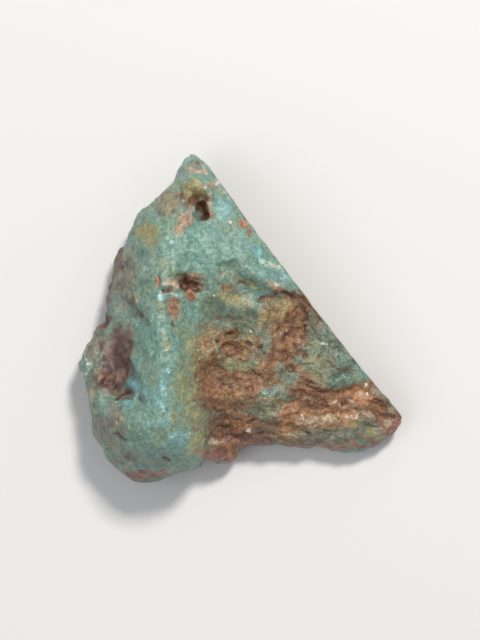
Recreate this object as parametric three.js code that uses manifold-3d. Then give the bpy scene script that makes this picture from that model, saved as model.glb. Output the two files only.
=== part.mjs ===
// A rough turquoise nugget: one three-cornered stone lying on its flattest side.
// Millimetres, +Z up. It rests on z = 0 with the middle of its box over the origin. The peak of the
// triangle points to +Y, the thin tip to +X, and the thick rounded lobe is at -X -Y. The upper face
// carries a spine from the peak down to the lobe, a smooth slab, a step and a rough lower plateau.
// The straight side between peak and tip is one flat split face.
import * as THREE from 'three';
import { mergeVertices } from 'three/addons/utils/BufferGeometryUtils.js';
import Module from 'manifold-3d';

// Whole stone
const stoneWidth = 42.4; // X, left flank to tip
const stoneLength = 43.4; // Y, lobe to peak
const stoneHeight = 17.5; // Z, resting face to the top of the spine

// Edges and flanks
const upperRoundShare = 0.22; // rounding of the upper edge, as a share of the height there
const lowerRoundShare = 0.3; // rounding of the lower edge, as a share of the height there
const flankTuck = 3.4; // how far the flanks draw in between their widest level and the table
const flankLean = 1; // how far they lean in between their widest level and the upper face
const girdleShare = 0.42; // widest level, as a share of the height of the upper face

// The split face: an upright plane
const splitNormal = new THREE.Vector3(0.79, 0.613, 0).normalize();
const splitDistance = 8.47; // from the origin

// Outline seen from above, anticlockwise, in four stretches that start at the peak, at the left
// flank, at the lobe and at the tip. The last stretch runs outside the split face, which cuts it.
const outlineStretches = [
  [
    [-2.4, 21.7], [-4.6, 21.6], [-6.1, 22.0], [-6.9, 21.5], [-7.6, 20.3], [-8.8, 18.2],
    [-11.8, 15.3], [-13.5, 13.8], [-14.3, 12.1], [-14.8, 9.9], [-16.3, 7.5], [-17.0, 5.5],
    [-17.8, 3.0], [-18.6, 0.3],
  ],
  [
    [-18.6, 0.3], [-19.8, -1.6], [-20.7, -3.9], [-21.2, -5.8], [-20.5, -9.2], [-19.6, -12.4],
    [-19.7, -14.2], [-19.1, -16.3], [-17.8, -18.5], [-15.8, -20.0], [-14.6, -21.0], [-13.0, -21.5],
  ],
  [
    [-13.0, -21.5], [-11.7, -21.5], [-9.1, -20.8], [-6.5, -20.0], [-5.3, -19.5], [-4.5, -18.7],
    [-2.8, -18.9], [-1.1, -19.0], [0.6, -18.0], [6.3, -17.6], [8.5, -17.5], [10.0, -16.9],
    [12.0, -17.5], [16.8, -17.4], [19.3, -16.2], [20.65, -14.9], [21.25, -13.6], [23.2, -10.6],
  ],
  [[23.2, -10.6], [-2.4, 21.3]],
];

// Heights of the upper face before its low relief: [x, y, z]
const upperSpots = [
  // peak and spine, down to the lobe
  [-5.7, 20.5, 9.5], [-6.1, 18.2, 12], [-7.9, 15.1, 13.3], [-9.6, 11.9, 14.3], [-10.6, 8.6, 15.2],
  [-11.2, 5.4, 15.9], [-11.3, 2.2, 16.4], [-10.9, -1.0, 17.0], [-10.4, -4.1, 17.2], [-10.0, -8.0, 17.5],
  [-9.7, -11.4, 17.4], [-10.1, -14.6, 17.0],
  // front of the lobe
  [-11.5, -17.3, 14.5], [-13.5, -19.4, 11], [-10.3, -19.7, 11.5], [-7.0, -17.7, 13.5], [-5.1, -16.1, 12],
  // left slope, left hollow, fin and the left of the lobe
  [-11.6, 13.3, 11.5], [-13.2, 10.1, 10.8], [-14.5, 6.8, 10], [-15.6, 3.6, 9], [-12.5, 4.2, 13.8],
  [-13.6, 0.3, 12], [-16.7, -0.3, 8.2], [-15.8, -3.6, 9.4], [-15.8, -6.6, 9.6], [-15.2, -9.4, 11],
  [-19.8, -4.5, 8.4], [-19.8, -7.5, 9.0], [-19.2, -10.7, 9.6], [-18.4, -14.0, 10.5], [-17.4, -17.2, 9.5],
  [-15.7, -13.2, 13.8], [-14.3, -16.0, 13.5], [-13.2, -11.8, 15.9],
  // smooth slab between spine and split face
  [-4.5, 17.8, 11.6], [-2.3, 15.2, 11.8], [-4.8, 13.2, 12.2], [-1.9, 10.6, 13], [-5.7, 10.0, 13.7],
  [1.6, 9.4, 12.6], [4.6, 7.2, 11.9], [-7.6, 6.1, 15.1], [-3.5, 5.5, 13.8], [0.5, 5.1, 13],
  [3.7, 3.8, 12.3], [6.8, 3.8, 11.2],
  // terrace below the step
  [-3.2, 1.6, 12.6], [0.1, 0.7, 11.8], [4.0, 0.3, 11], [7.6, 1.2, 10.5],
  // rough plateau, row by row towards the lower rim
  [-7.6, 1.0, 15.2], [-6.4, -2.3, 14], [-4.3, -2.3, 12.4], [-1.5, -2.9, 11.5], [5.9, -3.2, 10.5],
  [13.4, -4.5, 8.9], [-6.3, -6.7, 14.6], [-4.3, -6.8, 12], [-1.2, -7.1, 11], [6.3, -7.1, 10.2],
  [14.7, -6.9, 8.2], [-5.6, -10.9, 13.5], [-3.6, -10.9, 11.2], [0.1, -10.7, 10.6], [8.5, -10.2, 9.4],
  [16.8, -10.2, 7.0], [19.5, -11.9, 6.0],
  // lower rim
  [-3.6, -14.0, 9.6], [3.3, -14.1, 8.0], [12.5, -13.7, 6.9], [-1.5, -17.0, 5.6], [7.7, -16.1, 5.2],
  [18.5, -15.6, 4.8],
];

// Heights of the underside: below zero it is cut flat by the table
const undersideSpots = [
  [-6, 20, 3.2], [-9, 13, 1.0], [-6, 6, -0.5], [2, 7, 1.2], [-13, 3, 1.4], [-8, -3, -0.8], [2, -3, -0.7],
  [-17, -7, 1.6], [-10, -12, -0.6], [-13, -19, 1.2], [0, -11, -0.6], [2, -17, 1.2], [9, -7, -0.2],
  [12, -14, 0.9], [20, -13, 1.8],
];

// Low forms of the upper face, seen from above: centre, half sizes, turn in degrees, height
const mounds = [
  { at: [-5.5, 17.2], reach: [1.6, 1.6], turn: 0, height: 0.9 }, // knob at the peak
  { at: [-7.0, 12.4], reach: [1.3, 1.0], turn: 30, height: 0.35 }, // ledge below the first pit
  { at: [-11.6, 11.6], reach: [1.5, 2.2], turn: 20, height: 0.6 }, // left shoulder
  { at: [-5.1, 9.0], reach: [3.0, 2.5], turn: 0, height: 0.3 }, // slab
  { at: [0.7, 0.9], reach: [2.2, 1.5], turn: 0, height: 0.35 }, // terrace
  { at: [0.8, -5.7], reach: [1.9, 1.3], turn: -15, height: 0.7 }, // tongue
  { at: [4.0, -10.3], reach: [2.4, 1.5], turn: 0, height: 0.5 }, // crest of the plateau
  { at: [6.3, -7.3], reach: [0.9, 1.9], turn: -10, height: 0.45 }, // short ridge
  { at: [11.9, -8.0], reach: [2.2, 1.2], turn: -10, height: 0.35 }, // ledge near the tip
  { at: [15.0, -14.6], reach: [3.2, 1.1], turn: 0, height: 0.3 }, // swell of the lower rim
  { at: [-7.1, 4.2], reach: [1.9, 1.1], turn: 0, height: -0.55 }, // basin of the second pit
  { at: [-8.5, 1.4], reach: [1.0, 1.7], turn: 0, height: -0.45 }, // rusty dip beside the spine
  { at: [-2.5, -7.9], reach: [1.9, 2.5], turn: 10, height: -0.6 }, // hollow in the plateau
  { at: [-16.2, -5.5], reach: [1.2, 3.2], turn: 8, height: -0.6 }, // hollow behind the fin
  { at: [-15.7, -15.1], reach: [0.8, 1.0], turn: 30, height: -0.7 }, // dimple of the lobe
  { at: [-9.7, -18.4], reach: [1.0, 0.8], turn: -30, height: -0.5 }, // dimple low on the lobe
];

// Seams of the upper face: ridges where the height is positive, grooves where it is negative
const seams = [
  { line: [[-1.0, 7.9], [1.4, 6.4], [3.7, 4.8], [6.0, 3.9]], halfWidth: 1.3, height: 0.5 }, // slab edge
  {
    line: [[-1.9, 6.4], [0.5, 4.7], [2.9, 2.7], [4.7, 2.6], [6.5, 2.6]],
    halfWidth: 0.9, height: -0.6, // foot of the step
  },
  { line: [[7.6, 2.0], [8.2, 0.3], [8.6, -2.3]], halfWidth: 0.7, height: -0.5 }, // arc near the split face
  { line: [[-9.0, 15.9], [-6.4, 15.6], [-4.6, 14.9]], halfWidth: 0.8, height: -1 }, // neck of the knob
  { line: [[-3.4, -4.6], [-0.6, -4.4], [1.8, -4.9]], halfWidth: 0.7, height: 0.4 }, // pale rib
  { line: [[-1.8, -3.6], [1.2, -3.7]], halfWidth: 0.6, height: -0.6 }, // slit above the rib
  {
    line: [[2.9, -11.9], [7.9, -11.2], [13.1, -10.3], [17.2, -9.0]],
    halfWidth: 0.9, height: -0.6, // bed above the lower rim
  },
  { line: [[7.9, -13.0], [13.7, -12.4], [19.8, -11.8]], halfWidth: 0.7, height: -0.45 }, // bed
  { line: [[11.8, -14.9], [18.9, -14.0]], halfWidth: 0.7, height: -0.35 }, // bed
  { line: [[-3.2, -15.0], [1.4, -15.3], [6.6, -14.4]], halfWidth: 1.0, height: -0.7 }, // under the crest
  {
    line: [[-2.3, -13.3], [-3.2, -14.9], [-4.0, -15.9], [-4.0, -17.5], [-4.8, -18.9]],
    halfWidth: 0.9, height: -1.1, // foot of the lobe
  },
  { line: [[-15.7, -9.5], [-14.2, -9.4], [-12.8, -10.6]], halfWidth: 0.7, height: -1.1 }, // lobe crack
  { line: [[-14.1, 2.3], [-13.7, 0.7], [-12.0, -1.0]], halfWidth: 0.7, height: -0.7 }, // curved groove
];

// Lumps and hollows of the flanks and the underside, in space
const lumps = [
  { at: [-12.3, -20.6, 3.2], reach: 2.4, height: 0.45 }, // ledge under the lobe
  { at: [-1.6, -18.2, 3.8], reach: 1.7, height: 0.5 }, // knob in the notch
  { at: [-20.4, 0.0, 4.4], reach: 3.0, height: -0.9 }, // waist between fin and slope
  { at: [-16.6, 9.0, 3.6], reach: 3.4, height: 0.7 }, // foot of the left slope
  { at: [-11.0, 16.0, 3.2], reach: 3.0, height: -0.8 }, // hollow under the shoulder
  { at: [-20.2, -9.0, 2.6], reach: 2.8, height: -0.9 }, // hollow under the fin
  { at: [5.0, -17.2, 2.0], reach: 3.0, height: -0.8 }, // undercut of the lower rim
  { at: [14.5, -17.0, 2.2], reach: 2.6, height: 0.6 }, // swell near the tip
  { at: [-7.0, -19.6, 6.5], reach: 2.0, height: -0.7 }, // crease at the front of the lobe
];

// Roughness of every natural face: size of its grain and its depth
const roughness = [
  { grain: 4.6, depth: 0.4 },
  { grain: 2.1, depth: 0.2 },
];
// The plateau is rougher than the rest: middle, half sizes and how much more
const roughPatch = { at: [6, -8], reach: [13, 7], extra: 1.6 };

// How far the low forms stray from their straight lines, and over what length
const wander = { reach: 1, grain: 2.9 };

// Open pits of the upper face: mouth, half sizes across and depth
const pits = [
  { at: [-4.8, 13.6], reach: [0.8, 0.95], depth: 2.4 }, // deep pit under the knob
  { at: [-5.6, 14.6], reach: [1.0, 0.6], depth: 0.9 }, // its shallow upper end
  { at: [-7.1, 4.4], reach: [0.8, 1.1], depth: 1.9 }, // second pit
  { at: [-5.7, 4.2], reach: [1.4, 0.6], depth: 1.2 }, // its arm towards the split face
  { at: [-10.7, 4.7], reach: [0.5, 0.9], depth: 1.0 }, // slit beside the spine
  { at: [6.5, -6.5], reach: [0.55, 0.7], depth: 1.1 }, // pinhole of the short ridge
  { at: [-1.1, -2.2], reach: [1.0, 0.5], depth: 0.9 }, // slot in the plateau
];

const pitUnevenness = 0.35; // depth of the dents of a pit, as a share of its size
const pitHead = 3; // how far the cutting shape of a pit stands above the face

// Grid of the skin: cells along each side of the upper and lower face, and down the flanks
const faceCells = 40;
const flankCells = 7;
const coreShare = 0.8; // the core plate that the skin is drawn from, as a share of the outline
const coreCentre = [-2, -6.5];
const coreDepth = 0.45; // its level, as a share of the height of the upper face
const halvings = 22;

// Repeatable number from -1 to 1 for a lattice corner: the fraction of a large sine of its place
function cornerNumber(ix, iy, iz, seed) {
  const wave = Math.sin(ix * 127.1 + iy * 311.7 + iz * 74.7 + seed * 53.9) * 43758.5453;
  return 2 * (wave - Math.floor(wave)) - 1;
}

// Gradient noise, about -1 to 1: each lattice corner round a point has a random slope, and the
// heights that the slopes give at the point are blended
function rockNoise(x, y, z, grain, seed) {
  const steps = [x / grain, y / grain, z / grain];
  const corner = steps.map(Math.floor);
  const part = steps.map((step, axis) => step - corner[axis]);
  const ease = part.map((t) => t ** 3 * (t * (6 * t - 15) + 10));
  let total = 0;
  for (let n = 0; n < 8; n += 1) {
    const side = [n & 1, (n >> 1) & 1, n >> 2];
    const at = corner.map((c, axis) => c + side[axis]);
    const rise = side.reduce((sum, c, axis) => (
      sum + cornerNumber(...at, seed + 1.3 * axis) * (part[axis] - c)
    ), 0);
    const weight = side.reduce((product, c, axis) => product * Math.abs(1 - c - ease[axis]), 1);
    total += weight * rise;
  }
  return 1.5 * total;
}

// Largest of two values with the corner between them rounded over the given width
function smoothMax(a, b, width) {
  const overlap = Math.max(width - Math.abs(a - b), 0) / width;
  return Math.max(a, b) + overlap * overlap * width / 4;
}

// Thin-plate spline: the least bent sheet that passes through every spot height
function sheetThrough(spots) {
  const count = spots.length;
  const bend = (dx, dy) => {
    const squared = dx * dx + dy * dy;
    return squared > 0 ? squared * Math.log(squared) : 0;
  };
  const rows = spots.map(([x, y, z]) => [
    ...spots.map(([sx, sy]) => bend(x - sx, y - sy)), 1, x, y, z,
  ]);
  for (const pick of [() => 1, (spot) => spot[0], (spot) => spot[1]]) {
    rows.push([...spots.map(pick), 0, 0, 0, 0]);
  }
  const weights = solve(rows);
  return (x, y) => {
    let z = weights[count] + weights[count + 1] * x + weights[count + 2] * y;
    for (let i = 0; i < count; i += 1) {
      z += weights[i] * bend(x - spots[i][0], y - spots[i][1]);
    }
    return z;
  };
}

// Gaussian elimination with row exchange; the last column of each row is its right-hand side
function solve(rows) {
  const count = rows.length;
  for (let column = 0; column < count; column += 1) {
    let pivot = column;
    for (let r = column + 1; r < count; r += 1) {
      if (Math.abs(rows[r][column]) > Math.abs(rows[pivot][column])) {
        pivot = r;
      }
    }
    [rows[column], rows[pivot]] = [rows[pivot], rows[column]];
    for (let r = 0; r < count; r += 1) {
      if (r !== column) {
        const factor = rows[r][column] / rows[column][column];
        for (let c = column; c <= count; c += 1) {
          rows[r][c] -= factor * rows[column][c];
        }
      }
    }
  }
  return rows.map((row, i) => row[count] / row[i]);
}

// Distance from a point to one straight piece of a line
function distanceToPiece(x, y, [ax, ay], [bx, by]) {
  const along = ((x - ax) * (bx - ax) + (y - ay) * (by - ay)) / ((bx - ax) ** 2 + (by - ay) ** 2);
  const t = THREE.MathUtils.clamp(along, 0, 1);
  return Math.hypot(x - ax - t * (bx - ax), y - ay - t * (by - ay));
}

function distanceToLine(x, y, line) {
  let nearest = Infinity;
  for (let i = 1; i < line.length; i += 1) {
    nearest = Math.min(nearest, distanceToPiece(x, y, line[i - 1], line[i]));
  }
  return nearest;
}

const outline = outlineStretches.flatMap((stretch) => stretch.slice(0, -1));

// Distance to the outline, negative inside it
function outlineDistance(x, y) {
  let inside = false;
  for (let i = 0; i < outline.length; i += 1) {
    const [ax, ay] = outline[i];
    const [bx, by] = outline[(i + 1) % outline.length];
    if (ay > y !== by > y && x < ax + (bx - ax) * (y - ay) / (by - ay)) {
      inside = !inside;
    }
  }
  const distance = distanceToLine(x, y, [...outline, outline[0]]);
  return inside ? -distance : distance;
}

// Height of a bell-shaped mound, with its long axis turned in the plan
function moundHeight(x, y, { at, reach, turn, height }) {
  const angle = THREE.MathUtils.degToRad(turn);
  const dx = x - at[0];
  const dy = y - at[1];
  const u = (dx * Math.cos(angle) + dy * Math.sin(angle)) / reach[0];
  const v = (dy * Math.cos(angle) - dx * Math.sin(angle)) / reach[1];
  return height * Math.exp(-u * u - v * v);
}

function seamHeight(x, y, { line, halfWidth, height }) {
  return height * Math.exp(-((distanceToLine(x, y, line) / halfWidth) ** 2));
}

const upperSheet = sheetThrough(upperSpots);
const undersideSheet = sheetThrough(undersideSpots);

// The upper face: the sheet through the spot heights and the low forms, whose edges wander
function upperHeight(x, y) {
  const wanderX = x + wander.reach * rockNoise(x, y, 0, wander.grain, 1);
  const wanderY = y + wander.reach * rockNoise(x, y, 0, wander.grain, 2);
  const relief = mounds.reduce((sum, mound) => sum + moundHeight(wanderX, wanderY, mound), 0)
    + seams.reduce((sum, seam) => sum + seamHeight(wanderX, wanderY, seam), 0);
  return upperSheet(x, y) + relief;
}

// How far a point lies outside the stone before its flat faces are cut, negative within it
function outsideness(x, y, z) {
  const upper = upperHeight(x, y);
  const girdle = girdleShare * upper;
  const below = Math.max(girdle - z, 0) / girdle;
  const above = Math.max(z - girdle, 0) / (upper - girdle);
  const flank = outlineDistance(x, y) + flankTuck * below ** 2 + flankLean * above ** 2;
  const topped = smoothMax(flank, z - upper, upperRoundShare * upper);
  const body = smoothMax(topped, undersideSheet(x, y) - z, lowerRoundShare * upper);
  const swelling = lumps.reduce((sum, { at, reach, height }) => {
    const squared = (x - at[0]) ** 2 + (y - at[1]) ** 2 + (z - at[2]) ** 2;
    return sum + height * Math.exp(-squared / reach ** 2);
  }, 0);
  const unevenness = roughness.reduce((sum, { grain, depth }) => (
    sum + depth * rockNoise(x, y, z, grain, 3)
  ), 0);
  const { at: [px, py], reach: [rx, ry], extra } = roughPatch;
  const roughening = 1 + extra * Math.exp(-(((x - px) / rx) ** 2) - ((y - py) / ry) ** 2);
  return body - swelling - roughening * unevenness;
}

const rimPaths = outlineStretches.map((stretch) => (
  new THREE.Path(stretch.map(([x, y]) => new THREE.Vector2(x, y)))
));

// Point of the outline: the whole part of the place picks the stretch, the rest the way along it
function rimPoint(place) {
  const stretch = Math.min(Math.floor(place), 3);
  return rimPaths[stretch].getPoint(place - stretch);
}

// Place in the plan of a square grid point: each square ring of the grid becomes a smaller outline
function planPoint(a, b) {
  const ring = Math.max(Math.abs(a), Math.abs(b));
  if (ring === 0) {
    return [...coreCentre];
  }
  const [u, v] = [a / ring, b / ring];
  let place = 3 + (1 + v) / 2;
  if (v >= 1) {
    place = (1 - u) / 2;
  } else if (u <= -1) {
    place = 1 + (1 - v) / 2;
  } else if (v <= -1) {
    place = 2 + (1 + u) / 2;
  }
  const rim = rimPoint(place % 4);
  return [
    coreCentre[0] + ring * (rim.x - coreCentre[0]),
    coreCentre[1] + ring * (rim.y - coreCentre[1]),
  ];
}

// Skin point on the line from the core plate through a mark outside it, found by halving
function skinPoint([x, y], z) {
  const cx = coreCentre[0] + coreShare * (x - coreCentre[0]);
  const cy = coreCentre[1] + coreShare * (y - coreCentre[1]);
  const cz = coreDepth * upperHeight(cx, cy);
  let within = 0;
  let outside = 1.6;
  for (let i = 0; i < halvings; i += 1) {
    const t = (within + outside) / 2;
    if (outsideness(cx + t * (x - cx), cy + t * (y - cy), cz + t * (z - cz)) > 0) {
      outside = t;
    } else {
      within = t;
    }
  }
  return [cx + within * (x - cx), cy + within * (y - cy), cz + within * (z - cz)];
}

// The whole skin: a box of cells, faceCells wide and flankCells high, drawn on to the stone
function roughStone() {
  const positions = [];
  const index = [];
  const corners = new Map();
  const cornerAt = (i, j, k) => {
    const key = `${i} ${j} ${k}`;
    if (!corners.has(key)) {
      const plan = planPoint(2 * i / faceCells - 1, 2 * j / faceCells - 1);
      positions.push(...skinPoint(plan, k / flankCells * upperHeight(...plan)));
      corners.set(key, corners.size);
    }
    return corners.get(key);
  };
  const gap = (p, q) => Math.hypot(...[0, 1, 2].map((c) => positions[3 * p + c] - positions[3 * q + c]));
  // two triangles, parted along the shorter diagonal
  const addCell = (p, q, r, s) => {
    if (gap(p, r) < gap(q, s)) {
      index.push(p, q, r, p, r, s);
    } else {
      index.push(p, q, s, q, r, s);
    }
  };
  for (let i = 0; i < faceCells; i += 1) {
    for (let j = 0; j < faceCells; j += 1) {
      const cell = [[i, j], [i + 1, j], [i + 1, j + 1], [i, j + 1]];
      addCell(...cell.map(([ci, cj]) => cornerAt(ci, cj, flankCells)));
      addCell(...cell.reverse().map(([ci, cj]) => cornerAt(ci, cj, 0)));
    }
  }
  const turned = (side) => side.map(([i, j]) => [faceCells - j, i]);
  const sides = [Array.from({ length: faceCells }, (_, step) => [step, 0])];
  while (sides.length < 4) {
    sides.push(turned(sides.at(-1)));
  }
  const rim = sides.flat();
  for (let k = 0; k < flankCells; k += 1) {
    rim.forEach(([i, j], n) => {
      const [nextI, nextJ] = rim[(n + 1) % rim.length];
      const foot = [cornerAt(i, j, k), cornerAt(nextI, nextJ, k)];
      addCell(...foot, cornerAt(nextI, nextJ, k + 1), cornerAt(i, j, k + 1));
    });
  }
  const geometry = new THREE.BufferGeometry();
  geometry.setAttribute('position', new THREE.Float32BufferAttribute(positions, 3));
  geometry.setIndex(index);
  return geometry;
}

const wasm = await Module();
wasm.setup();

// Closed geometry to solid; shared corners are merged first
function toSolid(geometry) {
  const bare = geometry.clone();
  bare.deleteAttribute('normal');
  bare.deleteAttribute('uv');
  const merged = mergeVertices(bare, 1e-5);
  return new wasm.Manifold(new wasm.Mesh({
    numProp: 3,
    vertProperties: new Float32Array(merged.attributes.position.array),
    triVerts: new Uint32Array(merged.index.array),
  }));
}

function toGeometry(solid) {
  const { vertProperties, triVerts } = solid.getMesh();
  const geometry = new THREE.BufferGeometry();
  geometry.setAttribute('position', new THREE.BufferAttribute(vertProperties, 3));
  geometry.setIndex(new THREE.BufferAttribute(triVerts, 1));
  return geometry;
}

// Block whose inner face lies on the plane of a flat face of the stone
function blockBeyond(normal, distance) {
  const size = 4 * stoneHeight;
  const block = new THREE.BoxGeometry(size, size, size);
  block.translate(0, 0, size / 2);
  block.applyQuaternion(new THREE.Quaternion().setFromUnitVectors(new THREE.Vector3(0, 0, 1), normal));
  return block.translate(...normal.clone().multiplyScalar(distance));
}

// A pit is a ball, dented at random: its lower half is stretched to the depth of the pit, and its
// upper half stands clear above the face
function pitGeometry({ at, reach, depth }) {
  const pit = new THREE.IcosahedronGeometry(1, 2);
  const corners = pit.attributes.position;
  const stretch = new THREE.Vector3();
  for (let i = 0; i < corners.count; i += 1) {
    const corner = new THREE.Vector3().fromBufferAttribute(corners, i);
    const dent = 1 + pitUnevenness * rockNoise(...corner, 0.5, at[0]);
    stretch.set(reach[0], reach[1], corner.z > 0 ? pitHead : depth);
    corners.setXYZ(i, ...corner.multiplyScalar(dent).multiply(stretch));
  }
  return pit.translate(at[0], at[1], upperHeight(...at));
}

// The stone with its flat faces and pits cut, set to its size over the origin
function nuggetGeometry() {
  let stone = toSolid(roughStone());
  const cuts = [
    blockBeyond(splitNormal, splitDistance),
    blockBeyond(new THREE.Vector3(0, 0, -1), 0),
    ...pits.map(pitGeometry),
  ];
  for (const cut of cuts) {
    stone = stone.subtract(toSolid(cut));
  }
  const geometry = toGeometry(stone);
  geometry.computeBoundingBox();
  const size = geometry.boundingBox.getSize(new THREE.Vector3());
  const centre = geometry.boundingBox.getCenter(new THREE.Vector3());
  geometry.translate(-centre.x, -centre.y, 0);
  return geometry.scale(stoneWidth / size.x, stoneLength / size.y, stoneHeight / size.z);
}

const turquoise = new THREE.MeshStandardMaterial({ color: 0x7f9686, roughness: 0.5, metalness: 0 });

const nugget = new THREE.Mesh(nuggetGeometry(), turquoise);
nugget.name = 'nugget';

const part = new THREE.Group();
part.add(nugget);

export default part;
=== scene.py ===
# A rough turquoise nugget lying on its flattest face on a pale table, seen from straight above.
# Lengths are millimetres while the stone is worked out, and metres from the mesh on.
import bpy
import numpy as np
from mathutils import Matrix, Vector


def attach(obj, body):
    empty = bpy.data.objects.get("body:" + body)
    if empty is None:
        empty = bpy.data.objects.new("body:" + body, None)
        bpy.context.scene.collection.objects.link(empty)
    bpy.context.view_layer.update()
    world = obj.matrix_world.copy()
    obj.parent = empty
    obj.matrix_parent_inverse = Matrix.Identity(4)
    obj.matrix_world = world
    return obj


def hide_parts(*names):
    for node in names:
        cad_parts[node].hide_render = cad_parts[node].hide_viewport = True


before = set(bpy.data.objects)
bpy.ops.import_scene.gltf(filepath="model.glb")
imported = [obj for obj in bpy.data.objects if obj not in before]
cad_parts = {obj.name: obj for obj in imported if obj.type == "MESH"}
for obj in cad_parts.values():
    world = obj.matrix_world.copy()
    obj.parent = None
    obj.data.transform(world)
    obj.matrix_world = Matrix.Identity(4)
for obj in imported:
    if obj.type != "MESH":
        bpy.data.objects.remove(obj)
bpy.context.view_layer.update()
metresPerMm = 0.001

# what the stone is like as a whole; every length in mm
nugget = {
    "upperRoundShare": 0.22,   # rounding of the upper edge, as a share of the height there
    "lowerRoundShare": 0.3,    # the same for the lower edge
    "flankTuck": 3.4,          # how far the flanks draw in between their widest level and the table
    "flankLean": 1.0,          # how far they lean in between there and the upper face
    "girdleShare": 0.42,       # widest level, as a share of the height of the upper face
    "splitNormal": (0.79, 0.613),
    "splitDistance": 8.47,     # the split face lies this far from the origin
    "splitCorners": ((-5.48, 20.87), (21.26, -13.58)),
    "splitBulge": 0.5,         # how far the split face curves outwards at the peak and at the tip
    "bulgeRuns": ((3, 16), (8, 14)),     # start and length of that curve towards the peak and the tip
    "bulgeLimit": 1.1,         # it ends at this share of its length
    "edgeWear": 0.15,          # width over which the edges of the split face are rounded
    "endWear": 1.0,            # the same at the peak and at the tip, on top of it
    "wornEnds": ((15, 20), (-17, -22)),  # places along the split face where it sets in and is full
    "coreCentre": (-2, -6.5),  # the skin is drawn outwards from a core plate about this point
    "coreShare": 0.8,          # size of the plate, as a share of the outline
    "coreDepth": 0.45,         # its level, as a share of the height of the upper face
    "edgeDepth": 0.62,         # the same beside the split face
    "searchReach": 1.6,        # the skin is looked for up to this share of the way to its mark
    "clearLevels": (-3, 20),   # levels that lie clear of the stone below and above
    "edgePoints": 60,          # points that give the line of the split face
    "faceCells": 228,          # cells along each side of the upper face, and twice those of the lower
    "flankCells": 36,          # cells down the flanks
    "halvings": 15,            # times the way to the skin is halved
}

# outline seen from above, anticlockwise: peak, left flank, lobe, tip, and back outside the split face
outlineStretches = [
    [(-3.6, 20.5), (-4.9, 21.35), (-5.9, 21.95), (-6.7, 21.9), (-7.6, 21.0), (-8.1, 20.2), (-8.8, 18.2),
     (-11.8, 15.3), (-13.5, 13.8), (-14.3, 12.1), (-14.8, 9.9), (-16.3, 7.5), (-17.0, 5.5),
     (-17.8, 3.0), (-18.6, 0.3)],
    [(-18.6, 0.3), (-19.8, -1.6), (-20.6, -3.7), (-21.1, -5.7), (-21.0, -7.4), (-20.5, -9.4),
     (-19.8, -12.2), (-19.7, -14.2), (-19.1, -16.3), (-17.8, -18.5), (-15.8, -20.0), (-14.6, -21.0),
     (-13.0, -21.5)],
    [(-13.0, -21.5), (-11.7, -21.5), (-9.1, -20.8), (-6.5, -20.0), (-5.3, -19.5), (-4.5, -18.7),
     (-2.8, -18.9), (-1.1, -19.0), (0.6, -18.0), (6.3, -17.6), (8.5, -17.5), (10.0, -16.9),
     (12.0, -17.5), (16.8, -17.4), (19.3, -16.2), (20.8, -15.0), (21.7, -13.9), (23.2, -10.6)],
    [(23.2, -10.6), (-3.6, 20.5)],
]

# heights of the upper face before its low relief: (x, y, z)
upperSpots = [
    # peak and spine, down to the lobe
    (-5.7, 20.5, 9.5), (-6.1, 18.2, 12), (-7.9, 15.1, 13.3), (-9.6, 11.9, 14.3), (-10.6, 8.6, 15.2),
    (-11.2, 5.4, 15.9), (-11.3, 2.2, 16.4), (-10.9, -1.0, 17.0), (-10.4, -4.1, 17.2),
    (-10.0, -8.0, 17.5), (-9.7, -11.4, 17.4), (-10.1, -14.6, 17.0),
    # front of the lobe
    (-11.5, -17.3, 14.5), (-13.5, -19.4, 11), (-10.3, -19.7, 11.5), (-7.0, -17.7, 13.5),
    (-5.1, -16.1, 12),
    # left slope, left hollow, fin and the left of the lobe
    (-11.6, 13.3, 11.5), (-13.2, 10.1, 10.8), (-14.5, 6.8, 10), (-15.6, 3.6, 9), (-12.5, 4.2, 13.8),
    (-13.6, 0.3, 12), (-16.7, -0.3, 8.2), (-15.8, -3.6, 9.4), (-15.8, -6.6, 9.6), (-15.2, -9.4, 11),
    (-19.8, -4.5, 8.4), (-19.8, -7.5, 9.0), (-19.2, -10.7, 9.6), (-18.4, -14.0, 10.5),
    (-17.4, -17.2, 9.5), (-15.7, -13.2, 13.8), (-14.3, -16.0, 13.5), (-13.2, -11.8, 15.9),
    # smooth slab between spine and split face
    (-4.5, 17.8, 11.6), (-2.3, 15.2, 11.8), (-4.8, 13.2, 12.2), (-1.9, 10.6, 13), (-5.7, 10.0, 13.7),
    (1.6, 9.4, 12.6), (4.6, 7.2, 11.9), (-7.6, 6.1, 15.1), (-3.5, 5.5, 13.8), (0.5, 5.1, 13),
    (3.7, 3.8, 12.3), (6.8, 3.8, 11.2),
    # terrace below the step
    (-3.2, 1.6, 12.6), (0.1, 0.7, 11.8), (4.0, 0.3, 11), (7.6, 1.2, 10.5),
    # rough plateau, row by row towards the lower rim
    (-7.6, 1.0, 15.2), (-6.4, -2.3, 14), (-4.3, -2.3, 12.4), (-1.5, -2.9, 11.5), (5.9, -3.2, 10.5),
    (13.4, -4.5, 8.9), (-6.3, -6.7, 14.6), (-4.3, -6.8, 12), (-1.2, -7.1, 11), (6.3, -7.1, 10.2),
    (14.7, -6.9, 8.2), (-5.6, -10.9, 13.5), (-3.6, -10.9, 11.2), (0.1, -10.7, 10.6),
    (8.5, -10.2, 9.4), (16.8, -10.2, 7.0), (19.5, -11.9, 6.0),
    # lower rim
    (-3.6, -14.0, 9.6), (3.3, -14.1, 8.0), (12.5, -13.7, 6.9), (-1.5, -17.0, 5.6), (7.7, -16.1, 5.2),
    (18.5, -15.6, 4.8),
]

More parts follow.
